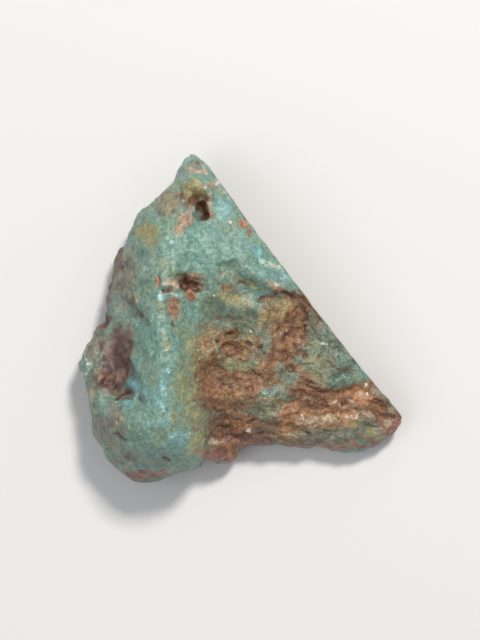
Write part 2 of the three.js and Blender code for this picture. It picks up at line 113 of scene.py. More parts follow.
# heights of the underside; below zero it is worn flat
undersideSpots = [
    (-6, 20, 3.2), (-9, 13, 1.0), (-6, 6, -0.5), (2, 7, 1.2), (-13, 3, 1.4), (-8, -3, -0.8),
    (2, -3, -0.7), (-17, -7, 1.6), (-10, -12, -0.6), (-13, -19, 1.2), (0, -11, -0.6), (2, -17, 1.2),
    (9, -7, -0.2), (12, -14, 0.9), (20, -13, 1.8),
]

# low forms of the upper face: centre x, y, half sizes, turn in degrees, height
mounds = [
    (-5.5, 17.2, 1.6, 1.6, 0, 0.9),      # knob at the peak
    (-7.0, 12.4, 1.3, 1.0, 30, 0.35),    # ledge below the first pit
    (-11.6, 11.6, 1.5, 2.2, 20, 0.6),    # left shoulder
    (-5.1, 9.0, 3.0, 2.5, 0, 0.3),       # slab
    (0.7, 0.9, 2.2, 1.5, 0, 0.35),       # terrace
    (0.8, -5.7, 1.9, 1.3, -15, 0.7),     # tongue
    (4.0, -10.3, 2.4, 1.5, 0, 0.5),      # crest of the plateau
    (6.3, -7.3, 0.9, 1.9, -10, 0.45),    # short ridge
    (11.9, -8.0, 2.2, 1.2, -10, 0.35),   # ledge near the tip
    (15.0, -14.6, 3.2, 1.1, 0, 0.3),     # swell of the lower rim
    (-7.1, 4.2, 1.9, 1.1, 0, -0.55),     # basin of the second pit
    (-8.5, 1.4, 1.0, 1.7, 0, -0.45),     # rusty dip beside the spine
    (-2.5, -7.9, 1.9, 2.5, 10, -0.6),    # hollow in the plateau
    (-16.2, -5.5, 1.2, 3.2, 8, -0.6),    # hollow behind the fin
    (-15.7, -15.1, 0.8, 1.0, 30, -0.7),  # dimple of the lobe
    (-9.7, -18.4, 1.0, 0.8, -30, -0.5),  # dimple low on the lobe
]

# seams of the upper face: line, half width, height; grooves have a negative height
seams = [
    ([(-1.0, 7.9), (1.4, 6.4), (3.7, 4.8), (6.0, 3.9)], 1.3, 0.5),               # slab edge
    ([(-1.9, 6.4), (0.5, 4.7), (2.9, 2.7), (4.7, 2.6), (6.5, 2.6)], 0.9, -0.6),  # foot of the step
    ([(7.6, 2.0), (8.2, 0.3), (8.6, -2.3)], 0.7, -0.5),                          # arc near the split face
    ([(-9.0, 15.9), (-6.4, 15.6), (-4.6, 14.9)], 0.9, -0.7),                     # neck of the knob
    ([(-3.4, -4.6), (-0.6, -4.4), (1.8, -4.9)], 0.7, 0.4),                       # pale rib
    ([(-1.8, -3.6), (1.2, -3.7)], 0.6, -0.6),                                    # slit above the rib
    ([(2.9, -11.9), (7.9, -11.2), (13.1, -10.3), (17.2, -9.0)], 0.9, -0.6),      # bed above the rim
    ([(7.9, -13.0), (13.7, -12.4), (19.8, -11.8)], 0.7, -0.45),                  # bed
    ([(11.8, -14.9), (18.9, -14.0)], 0.7, -0.35),                                # bed
    ([(-3.2, -15.0), (1.4, -15.3), (6.6, -14.4)], 1.0, -0.7),                    # under the crest
    ([(-2.3, -13.3), (-3.2, -14.9), (-4.0, -15.9), (-4.0, -17.5), (-4.8, -18.9)], 0.9, -1.1),
    ([(-15.7, -9.5), (-14.2, -9.4), (-12.8, -10.6)], 0.7, -1.1),                 # lobe crack
    ([(-14.1, 2.3), (-13.7, 0.7), (-12.0, -1.0)], 0.7, -0.7),                    # curved groove
]

# steep pits of the upper face: centre x, y, half sizes, turn, depth
pits = [
    (-5.1, 13.8, 0.75, 0.85, 10, 2.2),   # deep pit under the knob
    (-6.1, 15.0, 1.0, 0.6, 35, 0.8),     # its shallow upper end
    (-7.3, 4.6, 0.55, 0.95, 5, 1.1),     # second pit
    (-5.9, 4.2, 1.2, 0.34, -8, 0.6),     # its arm towards the split face
    (-9.3, 3.8, 0.8, 0.4, 5, 0.35),      # its small foot beside the spine
    (-10.6, 4.7, 0.45, 0.9, -15, 0.4),   # slit beside the spine
    (6.5, -6.4, 0.28, 0.32, 0, 0.4),     # pinhole of the short ridge
    (-1.2, -2.2, 0.9, 0.3, 0, 0.55),     # slot in the plateau
]

# lumps and hollows of the flanks and the underside: centre x, y, z, reach, height
lumps = [
    (-12.3, -20.6, 3.2, 2.4, 0.45),   # ledge under the lobe
    (-1.6, -18.2, 3.8, 1.7, 0.5),     # knob in the notch
    (-20.4, 0.0, 4.4, 3.0, -0.9),     # waist between fin and slope
    (-16.6, 9.0, 3.6, 3.4, 0.7),      # foot of the left slope
    (-11.0, 16.0, 3.2, 3.0, -0.8),    # hollow under the shoulder
    (-20.2, -9.0, 2.6, 2.8, -0.9),    # hollow under the fin
    (5.0, -17.2, 2.0, 3.0, -0.8),     # undercut of the lower rim
    (14.5, -17.0, 2.2, 2.6, 0.6),     # swell near the tip
    (-7.0, -19.6, 6.5, 2.0, -0.7),    # crease at the front of the lobe
]

# unevenness of every natural face: grain and depth, and the patch that is rougher than the rest
unevenness = [(4.6, 0.4), (2.1, 0.2), (1.0, 0.07)]
roughPatch = {"at": (6, -8), "reach": (13, 7), "extra": 1.6}

# how far the low forms of the upper face stray, and over what length
wander = {
    "forms": [(2.9, 1.0)],     # grain and reach for mounds and seams
    "pitShare": 0.3,           # the pits follow this share of it
    "pitGrain": 0.8,           # and their rims are ragged by themselves
    "pitReach": 0.22,
}

# stains and cracks are placed on the overhead view, 480 squares across and 640 down
overhead = {
    "columns": 480,
    "rows": 640,
    "square": 0.13,            # width of a square in mm, at the level below
    "level": 10,
    "lens": 356.7,             # height of the lens above the table
    "middle": (0.065, -0.325), # plan place of the middle of the view
    "rounds": 4,               # rounds that settle the height under a square
}

# how stains and cracks are laid: lengths in mm, and the rest as shares
staining = {
    "stray": [(2.3, 0.75), (0.9, 0.2)],  # grain and reach by which the edges of stains stray
    "spotEdge": (0.45, 1.45),  # a spot fades out between these shares of its half size
    "spotLevels": (0.06, 0.28),          # patches give way to spots here, as shares of the height
    "splitSide": (-0.12, -0.01),         # but the split face has patches: distances from its plane
    "splitDepth": (0.4, 1.6),  # and depths below the upper face
    "patchEdge": (-0.25, 0.25),
    "patchBreak": 0.3,         # strength of the finer noise that breaks up the patches
    "patchCover": 0.85,        # how much the patches cover on the underside
    "splitBare": 0.4,          # and how much less on the split face
    "tealOverMatrix": 0.75,    # teal stains lie over the matrix
    "crackStray": [(1.4, 0.3)],
    "crackGrain": 1.2,         # cracks come and go over this length
    "crackBreak": (-0.4, 0.2),
}

# stains of the upper face, partly painted light (highlights in white and frost, shade in dark and mauve):
# column, row, half sizes, turn in degrees, strength
stains = {
    "earth": [
        (300, 345, 14, 12, 0, 0.6), (150, 458, 28, 12, 10, 0.3), (320, 350, 20, 16, 0, 0.5),
        (132, 300, 6, 26, -8, 0.3), (232, 372, 40, 46, 0, 0.95), (280, 370, 46, 50, 0, 0.9),
        (300, 312, 30, 22, -40, 0.8), (345, 405, 58, 26, 0, 0.9), (300, 425, 60, 22, 0, 0.8),
        (232, 430, 30, 20, 0, 0.9), (208, 360, 16, 34, 0, 0.6), (225, 335, 26, 12, 0, 0.6),
        (196, 202, 16, 12, 0, 0.5), (330, 355, 26, 24, -30, 0.5), (310, 438, 60, 8, 0, 0.5),
        (350, 436, 40, 8, 0, 0.4), (395, 425, 14, 22, 30, 0.8), (278, 313, 20, 17, -10, 0.85),
        (232, 290, 20, 7, -20, 0.55), (198, 200, 15, 9, -10, 0.75), (165, 204, 12, 14, 0, 0.4),
        (86, 372, 8, 20, 0, 0.25), (285, 345, 22, 14, 25, 0.9), (238, 277, 14, 5, -30, 0.4),
        (318, 350, 22, 16, -30, 0.6), (340, 372, 16, 8, 0, 0.4), (228, 402, 16, 10, 0, 0.6),
        (212, 372, 12, 26, 0, 0.5), (338, 360, 14, 12, -30, 0.35), (332, 350, 18, 22, -30, 0.35),
    ],
    "teal": [
        (332, 352, 22, 24, -35, 0.75), (245, 378, 10, 6, 20, 0.5), (215, 372, 10, 8, 0, 0.2),
        (225, 398, 12, 7, -20, 0.4), (214, 424, 8, 8, 0, 0.3), (282, 400, 14, 12, 0, 0.6),
        (330, 432, 26, 6, 0, 0.5), (300, 428, 10, 6, 0, 0.4), (228, 306, 26, 12, -8, 0.9),
        (246, 320, 14, 10, 0, 0.75), (212, 312, 14, 12, 0, 0.7), (222, 364, 5, 5, 0, 0.7),
        (250, 362, 9, 6, 0, 0.8), (266, 345, 6, 12, -10, 0.5), (318, 352, 16, 22, -25, 0.75),
        (335, 358, 10, 20, -30, 0.8), (338, 379, 16, 8, -5, 0.95), (272, 392, 16, 8, 8, 0.75),
        (262, 408, 16, 10, 0, 0.75), (278, 402, 12, 12, 0, 0.6), (284, 372, 8, 14, 20, 0.7),
        (316, 418, 9, 6, -40, 0.6), (345, 430, 30, 7, 5, 0.45), (325, 425, 14, 8, 0, 0.35),
        (216, 345, 5, 4, 0, 0.6), (240, 338, 10, 3, 10, 0.5), (256, 330, 8, 6, 0, 0.5),
        (192, 212, 6, 7, 0, 0.7), (310, 380, 10, 5, 0, 0.4), (262, 420, 10, 4, 0, 0.3),
        (262, 446, 22, 5, 0, 0.3), (300, 352, 8, 10, 0, 0.35), (345, 362, 8, 22, -30, 0.8),
        (310, 330, 5, 18, -10, 0.7), (330, 434, 26, 5, 0, 0.5), (362, 436, 20, 5, 10, 0.5),
        (296, 436, 12, 5, 0, 0.5), (240, 364, 13, 6, 0, 0.8), (270, 400, 14, 15, 0, 0.8),
        (265, 345, 5, 15, -5, 0.6), (200, 415, 8, 20, 0, 0.35), (322, 350, 18, 22, -25, 0.6),
        (222, 352, 8, 5, 0, 0.4), (342, 352, 8, 16, -35, 0.6), (245, 322, 13, 13, 0, 0.75),
        (261, 344, 5, 14, -5, 0.7), (252, 352, 9, 4, 20, 0.5), (232, 366, 10, 5, 0, 0.4),
        (91, 364, 6, 22, 0, 0.7), (95, 340, 9, 8, -20, 0.5), (92, 396, 5, 12, -8, 0.6),
    ],
    "grey": [
        (112, 430, 12, 22, 0, 0.5), (104, 352, 2.5, 16, 10, 0.5), (158, 200, 10, 10, 0, 0.6),
        (196, 160, 9, 6, 0, 0.5), (120, 285, 12, 36, -12, 0.5), (130, 262, 8, 16, -15, 0.4),
        (90, 352, 3, 14, -30, 0.6), (90, 392, 3, 12, -10, 0.5), (266, 345, 6, 13, -10, 0.45),
        (272, 355, 6, 4, 0, 0.6), (275, 390, 14, 7, 5, 0.55), (320, 350, 16, 18, -30, 0.15),
        (282, 375, 8, 12, 20, 0.4), (335, 430, 26, 7, 5, 0.6), (312, 418, 10, 7, -40, 0.5),
        (260, 322, 20, 9, 0, 0.35), (135, 476, 12, 5, 0, 0.7), (250, 440, 28, 6, 0, 0.35),
        (86, 350, 8, 18, 0, 0.85), (104, 338, 12, 9, -20, 0.75), (88, 392, 6, 12, 0, 0.8),
        (118, 388, 12, 5, 0, 0.75), (112, 412, 10, 14, 0, 0.7), (96, 425, 8, 18, 0, 0.6),
        (168, 203, 13, 14, 10, 0.75), (335, 435, 34, 6, 4, 0.85), (305, 437, 18, 5, 0, 0.75),
        (384, 435, 14, 5, -25, 0.6), (387, 422, 6, 6, 0, 0.6), (275, 279, 11, 8, -35, 0.5),
        (308, 322, 6, 14, -10, 0.5), (345, 428, 10, 5, 0, 0.6), (118, 460, 14, 8, 20, 0.6),
        (126, 285, 8, 26, -10, 0.4), (172, 196, 12, 12, 0, 0.5), (345, 445, 34, 5, 2, 0.5),
        (186, 205, 8, 6, 0, 0.4), (124, 262, 6, 22, -12, 0.4), (236, 364, 12, 6, 0, 0.3),
        (130, 452, 12, 10, 20, 0.45),
    ],
    "olive": [
        (160, 440, 10, 14, 0, 0.3), (250, 366, 14, 10, 0, 0.25), (194, 188, 12, 10, 0, 0.9),
        (153, 234, 9, 10, 0, 0.6), (158, 307, 7, 6, 0, 0.35), (196, 446, 12, 11, 0, 0.55),
        (212, 335, 14, 9, 10, 0.35), (196, 350, 8, 16, 0, 0.4), (280, 312, 22, 12, 0, 0.2),
        (262, 316, 4, 13, 0, 0.5), (235, 364, 10, 6, 0, 0.5), (240, 322, 22, 8, -10, 0.3),
        (228, 294, 12, 7, 0, 0.45), (246, 344, 8, 9, 0, 0.5), (272, 405, 18, 12, 10, 0.45),
        (318, 418, 12, 8, -30, 0.4), (345, 425, 22, 6, 5, 0.35), (270, 444, 30, 5, 0, 0.4),
        (120, 445, 10, 14, 20, 0.3), (316, 360, 12, 20, 10, 0.35), (186, 362, 9, 38, 0, 0.35),
        (178, 395, 10, 22, 0, 0.35), (175, 416, 5, 5, 0, 0.6), (165, 345, 5, 16, 0, 0.45),
        (198, 425, 10, 24, 8, 0.4), (193, 400, 12, 18, 0, 0.35), (144, 232, 12, 14, 30, 0.85),
        (276, 313, 17, 14, -10, 0.15), (240, 300, 16, 8, -10, 0.5), (194, 186, 13, 9, 0, 0.8),
        (330, 419, 20, 6, 5, 0.5), (376, 437, 14, 5, -25, 0.6), (300, 431, 14, 5, 0, 0.5),
        (345, 425, 16, 6, 0, 0.4), (168, 200, 12, 12, 10, 0.4), (205, 350, 10, 12, 0, 0.2),
        (245, 283, 14, 4, -30, 0.5), (150, 395, 5, 5, 0, 0.3), (186, 420, 5, 6, 0, 0.4),
        (158, 262, 8, 8, 0, 0.3), (150, 300, 6, 8, 0, 0.25), (282, 308, 14, 9, -25, 0.4),
    ],
    # mauve: reddish-brown matrix, and painted shade where it darkens the left hollow and the strip down
    # the left flank, which face away from the key light
    "mauve": [
        (108, 380, 10, 14, 0, 0.9), (112, 262, 9, 34, -16, 0.75), (122, 458, 18, 10, 25, 0.3),
        (124, 392, 14, 5, -15, 0.5), (140, 478, 22, 5, 0, 0.7), (232, 437, 30, 11, 0, 1),
        (262, 440, 20, 9, 0, 0.7), (250, 428, 20, 6, 0, 0.5), (95, 322, 8, 20, 15, 0.5),
        (396, 426, 7, 13, 25, 0.6), (380, 440, 14, 5, -30, 0.35), (365, 428, 14, 4, 5, 0.4),
        (385, 414, 12, 9, -20, 0.75), (306, 424, 5, 5, 0, 0.5), (95, 376, 9, 16, 5, 0.3),
        (118, 352, 16, 30, -15, 1), (118, 372, 12, 14, 0, 0.8), (94, 408, 6, 12, 0, 0.3),
        (96, 436, 7, 22, 5, 0.45), (104, 300, 7, 22, -12, 0.8), (108, 422, 8, 10, 20, 0.3),
        (280, 447, 30, 3, 0, 0.35), (128, 388, 10, 4, 0, 0.4), (345, 430, 6, 5, 0, 0.35),
        (122, 240, 4, 20, -20, 0.4), (222, 382, 5, 4, 0, 0.4), (208, 397, 6, 14, 0, 0.4),
        (119, 272, 5, 28, -14, 0.3), (101, 360, 9, 24, 0, 0.35),
    ],
    "rose": [
        (224, 455, 18, 8, 0, 1), (345, 447, 34, 5, 2, 0.6), (245, 438, 22, 8, 0, 0.6),
        (386, 420, 13, 13, 20, 0.85), (212, 456, 10, 8, 0, 0.9), (300, 449, 30, 4, 0, 0.45),
        (399, 424, 6, 14, 20, 0.9), (217, 441, 9, 6, 0, 0.5), (172, 282, 7, 4, 0, 0.6),
        (262, 449, 20, 4, 0, 0.6), (375, 442, 16, 4, -25, 0.6), (222, 386, 10, 7, 0, 0.3),
        (205, 375, 5, 12, 0, 0.25), (300, 436, 14, 5, 0, 0.35), (212, 392, 12, 18, 0, 0.45),
        (240, 408, 14, 8, 0, 0.35), (222, 425, 16, 8, 0, 0.4), (190, 201, 9, 7, 0, 0.3),
        (200, 162, 10, 3, 15, 0.4), (224, 456, 18, 8, 0, 0.8), (305, 446, 30, 5, 0, 0.45),
        (392, 432, 8, 10, 30, 0.5), (345, 398, 14, 6, -15, 0.3), (300, 418, 14, 6, 10, 0.3),
        (150, 475, 24, 3, 3, 0.6), (108, 442, 4, 16, -10, 0.35), (246, 430, 14, 6, 0, 0.35),
        (244, 434, 18, 6, 0, 0.6), (155, 462, 16, 4, 5, 0.35), (126, 470, 10, 5, 25, 0.4),
    ],
    "matrix": [
        (222, 375, 26, 28, 0, 0.55), (222, 405, 20, 16, 0, 0.5), (205, 395, 10, 22, 0, 0.35),
        (236, 345, 16, 8, -10, 0.6), (300, 330, 10, 14, 0, 0.7), (245, 378, 14, 12, 0, 0.7),
        (255, 342, 7, 9, 0, 0.35), (225, 333, 14, 8, 10, 0.3), (295, 318, 12, 16, -30, 0.6),
        (305, 300, 8, 6, -45, 0.7), (300, 393, 20, 8, 5, 0.9), (330, 398, 22, 9, 8, 0.95),
        (355, 395, 16, 12, -20, 0.9), (310, 378, 12, 7, -20, 0.6), (330, 365, 14, 10, -40, 0.35),
        (380, 410, 14, 10, -30, 0.8), (300, 410, 16, 10, 10, 0.6), (290, 425, 18, 8, 10, 0.6),
        (250, 418, 16, 8, 0, 0.7), (235, 430, 26, 9, 8, 0.45), (262, 436, 20, 6, -8, 0.4),
        (225, 448, 16, 8, 0, 0.85), (205, 206, 8, 10, 0, 0.4), (180, 190, 5, 8, 10, 0.6),
        (240, 280, 12, 7, -30, 0.4), (300, 345, 6, 16, 0, 0.4), (285, 340, 20, 12, 25, 0.7),
        (287, 333, 17, 10, 20, 0.85), (282, 355, 16, 9, 30, 0.7), (187, 281, 17, 8, 0, 0.8),
        (292, 312, 8, 10, -40, 0.5), (197, 203, 14, 7, -15, 0.85), (210, 212, 5, 6, 0, 0.5),
        (275, 352, 18, 14, 0, 0.6), (283, 308, 14, 9, -20, 0.4), (300, 386, 12, 12, 0, 0.5),
        (295, 342, 14, 12, 20, 0.5), (328, 362, 16, 9, -30, 0.35), (318, 344, 8, 5, -30, 0.3),
    ],
    "golden": [
        (356, 394, 14, 11, -20, 0.9), (345, 410, 18, 8, 0, 0.8), (300, 414, 10, 8, 20, 0.9),
        (288, 424, 9, 10, 0, 0.8), (318, 411, 14, 7, 0, 0.5), (240, 428, 16, 6, 0, 0.6),
        (276, 436, 14, 5, 0, 0.5), (330, 424, 26, 7, 0, 0.55), (372, 402, 8, 8, 0, 0.5),
        (254, 383, 9, 7, -30, 0.5), (200, 395, 6, 14, 0, 0.2), (198, 420, 6, 12, 0, 0.25),
        (250, 232, 5, 6, -30, 0.6), (222, 330, 14, 5, 0, 0.25), (235, 350, 12, 6, 0, 0.2),
        (156, 280, 2.8, 8, -10, 0.9), (260, 312, 2, 8, 0, 0.45), (202, 190, 6, 6, 0, 0.35),
        (181, 220, 11, 8, 40, 0.75), (241, 223, 6, 4, -20, 0.7), (375, 392, 6, 8, -40, 0.5),
        (340, 419, 10, 4, 0, 0.5), (284, 419, 9, 8, -20, 0.7), (240, 419, 12, 5, 0, 0.5),
        (226, 396, 16, 16, 0, 0.4), (292, 413, 10, 9, 0, 0.5), (268, 362, 12, 12, 0, 0.3),
        (214, 372, 10, 8, 0, 0.3), (197, 452, 7, 6, 0, 0.35), (193, 432, 8, 7, 0, 0.25),
        (293, 411, 11, 8, 0, 0.5), (300, 396, 12, 4, 0, 0.3),
    ],
    "rust": [
        (254, 382, 10, 8, -30, 0.75), (246, 376, 5, 4, 0, 0.7), (191, 293, 7, 6, 30, 0.7),
        (242, 224, 4, 4, 0, 0.85), (248, 230, 3, 3, -30, 0.9), (350, 400, 18, 8, -10, 0.6),
        (368, 385, 8, 8, -30, 0.75), (290, 414, 12, 8, 30, 0.75), (233, 416, 18, 6, 0, 0.55),
        (207, 385, 6, 12, 0, 0.25), (262, 366, 9, 7, 30, 0.35), (254, 342, 5, 8, 0, 0.3),
        (205, 341, 9, 5, 10, 0.45), (276, 290, 6, 3, -35, 0.8), (230, 431, 18, 4, 0, 0.5),
        (213, 396, 5, 10, 0, 0.25), (300, 402, 26, 3, 5, 0.6), (207, 432, 6, 5, 0, 0.3),
        (196, 450, 4, 3, 0, 0.5), (174, 306, 7, 13, 8, 0.85), (190, 274, 16, 2, 0, 0.5),
        (158, 281, 2.5, 6, -10, 0.75), (196, 166, 11, 3, 12, 0.45), (189, 196, 6, 6, 0, 0.5),
        (213, 187, 5, 2.5, 0, 0.6), (221, 270, 4, 5, -30, 0.5), (226, 288, 6, 2.5, -15, 0.55),
        (190, 292, 6, 5, 20, 0.7), (240, 223, 5, 4, -20, 0.5), (272, 287, 5, 2.5, -30, 0.7),
        (212, 213, 4, 5, 0, 0.5), (186, 222, 7, 7, 40, 0.4), (388, 424, 9, 8, 0, 0.35),
        (378, 412, 6, 5, 0, 0.35),
    ],
    "blue": [
        (160, 425, 5, 8, 0, 0.5), (175, 440, 20, 8, 10, 0.4), (150, 300, 6, 14, -10, 0.4),
        (257, 249, 7, 6, -30, 1), (262, 275, 8, 5, -30, 0.5), (140, 386, 12, 8, -20, 0.55),
        (126, 403, 9, 4, 0, 0.6), (172, 345, 5, 8, 0, 0.5), (176, 436, 12, 6, 15, 0.35),
        (205, 228, 18, 14, 0, 0.3), (226, 309, 14, 5, -10, 0.2), (158, 285, 6, 14, 0, 0.35),
        (268, 388, 10, 4, 0, 0.4), (290, 375, 5, 8, 20, 0.25), (246, 362, 4, 4, 0, 0.2),
        (216, 345, 4, 3, 0, 0.35), (190, 213, 4, 5, 0, 0.6), (150, 455, 12, 6, 0, 0.3),
        (140, 330, 12, 20, 0, 0.3), (340, 379, 10, 5, -5, 0.2), (345, 360, 4, 12, 35, 0.25),
        (163, 396, 5, 22, 0, 0.4), (160, 385, 6, 14, 0, 0.3), (223, 202, 6, 9, 10, 0.85),
        (226, 212, 10, 9, -20, 0.6), (193, 212, 4, 5, 0, 0.8), (275, 277, 9, 7, -35, 0.5),
        (130, 384, 9, 5, -10, 0.5), (150, 400, 14, 10, 0, 0.4), (160, 372, 6, 8, 10, 0.3),
        (123, 402, 8, 5, 0, 0.4), (178, 452, 10, 6, 0, 0.35),
    ],
    # frost: whitish-blue bloom, and painted highlights along the crest of the spine, on the lit rim of
    # the second pit and along the slab edge
    "frostAndHighlight": [
        (163, 386, 4.5, 7, 0, 0.4), (161, 403, 5, 7, 10, 0.4), (160, 352, 3, 5, 20, 0.35),
        (168, 371, 3, 5, -20, 0.3), (168, 291, 9, 2.5, -5, 0.55), (160, 297, 4, 5, 0, 0.5),
        (270, 263, 12, 4, -28, 0.5), (283, 278, 6, 9, -35, 0.4), (262, 258, 5, 3, -30, 0.5),
        (137, 398, 6, 5, 0, 0.45), (214, 442, 4, 2, 0, 0.3), (240, 262, 14, 3, -30, 0.2),
        (198, 245, 12, 6, -20, 0.1), (176, 240, 6, 6, 0, 0.25), (187, 156, 7, 4, 0, 0.4),
        (206, 160, 4, 5, -30, 0.5), (222, 180, 3, 7, 35, 0.35), (150, 345, 5, 12, 0, 0.2),
        (180, 436, 14, 5, 10, 0.35), (150, 420, 12, 6, 0, 0.25), (345, 376, 8, 2, -5, 0.35),
        (322, 342, 6, 2, -35, 0.5), (256, 362, 5, 2, 0, 0.2), (268, 392, 5, 3, 0, 0.3),
        (192, 210, 3, 3, 0, 0.6), (228, 246, 8, 5, -30, 0.15), (142, 268, 4, 6, 0, 0.3),
        (150, 312, 4, 9, 0, 0.3), (158, 312, 6, 16, 0, 0.2), (186, 158, 4, 3, 0, 0.2),
        (84, 364, 2.5, 20, -4, 0.45), (88, 398, 2.5, 8, -12, 0.45),
    ],
    "pale": [
        (392, 412, 4, 7, 20, 0.5), (386, 425, 4, 3, 0, 0.7), (270, 400, 8, 3, 10, 0.4),
        (326, 420, 28, 7, -5, 0.3), (292, 432, 14, 5, 0, 0.45), (240, 412, 10, 4, 0, 0.35),
        (365, 415, 14, 5, -15, 0.5), (262, 398, 16, 5, 0, 0.35), (272, 410, 12, 4, 0, 0.35),
        (335, 402, 7, 2, -20, 0.6), (352, 415, 8, 2.5, -15, 0.6), (308, 402, 6, 2, 0, 0.5),
        (281, 420, 5, 3, 0, 0.6), (173, 281, 8, 4, 10, 0.9), (192, 213, 4, 5, 0, 0.5),
        (176, 293, 7, 2.5, 0, 0.55), (134, 297, 3.4, 5.5, -15, 1), (271, 284, 6, 3, -35, 0.8),
        (235, 355, 18, 3, 5, 0.2), (216, 441, 8, 5, 0, 0.6), (248, 430, 5, 4, 0, 0.8),
        (228, 384, 6, 6, 0, 0.4), (310, 417, 5, 8, 50, 0.5), (320, 342, 7, 3, -35, 0.45),
        (296, 420, 7, 4, 0, 0.5), (342, 405, 4, 4, 0, 0.6), (352, 402, 9, 3, -35, 0.5),
        (362, 392, 8, 3, -40, 0.5), (288, 392, 8, 3, -20, 0.3), (205, 346, 12, 4, 0, 0.3),
        (281, 333, 12, 2, 20, 0.45), (190, 170, 4, 7, 30, 0.4), (126, 300, 2, 5, -10, 0.4),
        (298, 340, 6, 5, 0, 0.3), (196, 168, 11, 4, 12, 0.7), (272, 264, 13, 3, -28, 0.5),
        (268, 281, 7, 3, -35, 0.6), (182, 221, 12, 8, 40, 0.5), (213, 180, 4, 6, -30, 0.7),
        (212, 198, 4, 9, -5, 0.55), (96, 358, 3, 9, -40, 0.35), (101, 374, 1.5, 11, 0, 0.2),
        (90, 392, 4, 8, 0, 0.5), (331, 419, 10, 5, -20, 0.4), (345, 415, 12, 3, -15, 0.3),
        (387, 422, 5, 5, 0, 0.75), (316, 428, 8, 5, 0, 0.35), (246, 222, 3, 3, 0, 0.4),
        (170, 205, 4, 3, 0, 0.5), (180, 198, 3, 3, 0, 0.5), (187, 207, 4, 3, 0, 0.4),
        (164, 194, 3, 2, 0, 0.4), (128, 464, 12, 3, 30, 0.45), (118, 418, 8, 3, 60, 0.4),
        (126, 446, 6, 4, 20, 0.4), (160, 470, 16, 2.5, 5, 0.4), (288, 408, 6, 3, 20, 0.4),
    ],
    # white: whitish crystals, and painted highlights, the tiny round spots being glints of light laid
    # into the colour
    "whiteAndHighlight": [
        (248, 429, 3.4, 3, 0, 0.9), (208, 187, 2, 2, 0, 0.9), (214, 295, 1.2, 1.2, 0, 1),
        (143, 275, 1.2, 1.2, 0, 1), (253, 332, 1.2, 1.2, 0, 1), (232, 218, 1.3, 1.3, 0, 0.9),
        (213, 442, 5, 3.5, 0, 0.3), (320, 343, 4, 2, -35, 0.6), (366, 384, 1.2, 1.5, -30, 1),
        (345, 406, 2, 1.7, 0, 0.95), (301, 415, 2.2, 3, 0, 1), (368, 392, 1, 1, 0, 0.8),
        (214, 181, 2, 2.5, 0, 0.8), (196, 169, 2, 1.2, 0, 0.6), (207, 173, 1.4, 1.6, 0, 0.5),
        (233, 218, 1.2, 1.2, 0, 0.9), (273, 283, 5, 1.6, -35, 0.7), (166, 282, 4, 2.6, 5, 0.5),
        (84, 374, 1.2, 1.5, 0, 0.8), (134, 296, 1.8, 3.4, -15, 0.8), (240, 356, 1.3, 1.2, 0, 0.6),
    ],
    # dark: brown slits and cracks, and painted shade in the cores of the pits, under the knob at the peak
    # and in the left hollow
    "dark": [
        (178, 190, 3, 6, -10, 0.7), (247, 343, 5, 1.8, 8, 0.95), (290, 368, 2, 2.4, 0, 0.95),
        (290, 297, 7, 2, -40, 0.9), (331, 356, 4, 3, -30, 0.35), (345, 371, 4, 2, 0, 0.6),
        (118, 395, 2, 3, 0, 0.5), (119, 434, 5, 2, -40, 0.75), (166, 459, 5, 1.8, -25, 0.75),
        (173, 323, 1.8, 5, 10, 0.7), (108, 377, 4, 9, -5, 0.75), (103, 318, 6, 8, 20, 0.8),
        (222, 436, 9, 3, 15, 0.4), (262, 433, 18, 3, -5, 0.4), (307, 378, 5, 2, -20, 0.8),
        (300, 392, 9, 2, -8, 0.6), (312, 386, 8, 2, -20, 0.7), (317, 405, 14, 2.2, 4, 0.75),
        (342, 402, 3, 4, 0, 0.85), (372, 399, 7, 2, -20, 0.7), (385, 413, 11, 2.2, 0, 0.8),
        (388, 408, 3, 4, 0, 0.6), (252, 420, 8, 2.5, 0, 0.7), (308, 432, 4, 2.5, -20, 0.6),
        (304, 353, 5, 3, -45, 0.8), (307, 345, 3, 3, 0, 0.4), (322, 392, 14, 2, 0, 0.45),
        (158, 276, 1.5, 5, -5, 0.5), (262, 443, 9, 2.4, -10, 0.35), (225, 425, 5, 3, 0, 0.5),
        (99, 345, 3, 5, -20, 0.5), (345, 395, 8, 2, -30, 0.5), (224, 318, 14, 3, -15, 0.4),
        (240, 318, 10, 2, -15, 0.35), (120, 245, 3, 12, -20, 0.4), (184, 281, 4.5, 8, 5, 1),
        (194, 285, 9, 3, -8, 0.95), (167, 289, 5, 2, 8, 0.7), (193, 297, 5, 5, 20, 0.4),
        (202, 213, 6, 5.5, 0, 1), (199, 202, 7, 5, -20, 0.8), (171, 322, 2, 4, 10, 0.5),
        (157, 281, 1.5, 5, -10, 0.4), (390, 411, 4, 3, 0, 0.7), (384, 408, 2, 2, 0, 0.6),
        (394, 414, 2, 3, 0, 0.6), (96, 370, 3, 8, 0, 0.25), (105, 382, 3, 5, 0, 0.6),
        (306, 334, 10, 2, -40, 0.4), (318, 356, 3, 2, -30, 0.6), (335, 372, 3, 2, -30, 0.5),
        (322, 366, 4, 2, -35, 0.4), (119, 262, 3, 14, -12, 0.5), (128, 302, 2.5, 12, -8, 0.35),
        (112, 290, 3, 10, -15, 0.4), (266, 298, 9, 2.2, -3, 0.6), (300, 300, 9, 2, -50, 0.7),
        (306, 320, 2, 13, 0, 0.6), (134, 308, 1.8, 7, -12, 0.5), (231, 334, 5.5, 1.6, 0, 0.9),
        (186, 282, 3, 6, 0, 0.8), (325, 345, 2, 2, 0, 0.6), (333, 352, 2.6, 1.6, -30, 0.6),
        (319, 338, 3, 1.5, -40, 0.5), (341, 366, 3, 1.6, -30, 0.5), (312, 362, 3, 1.6, -40, 0.5),
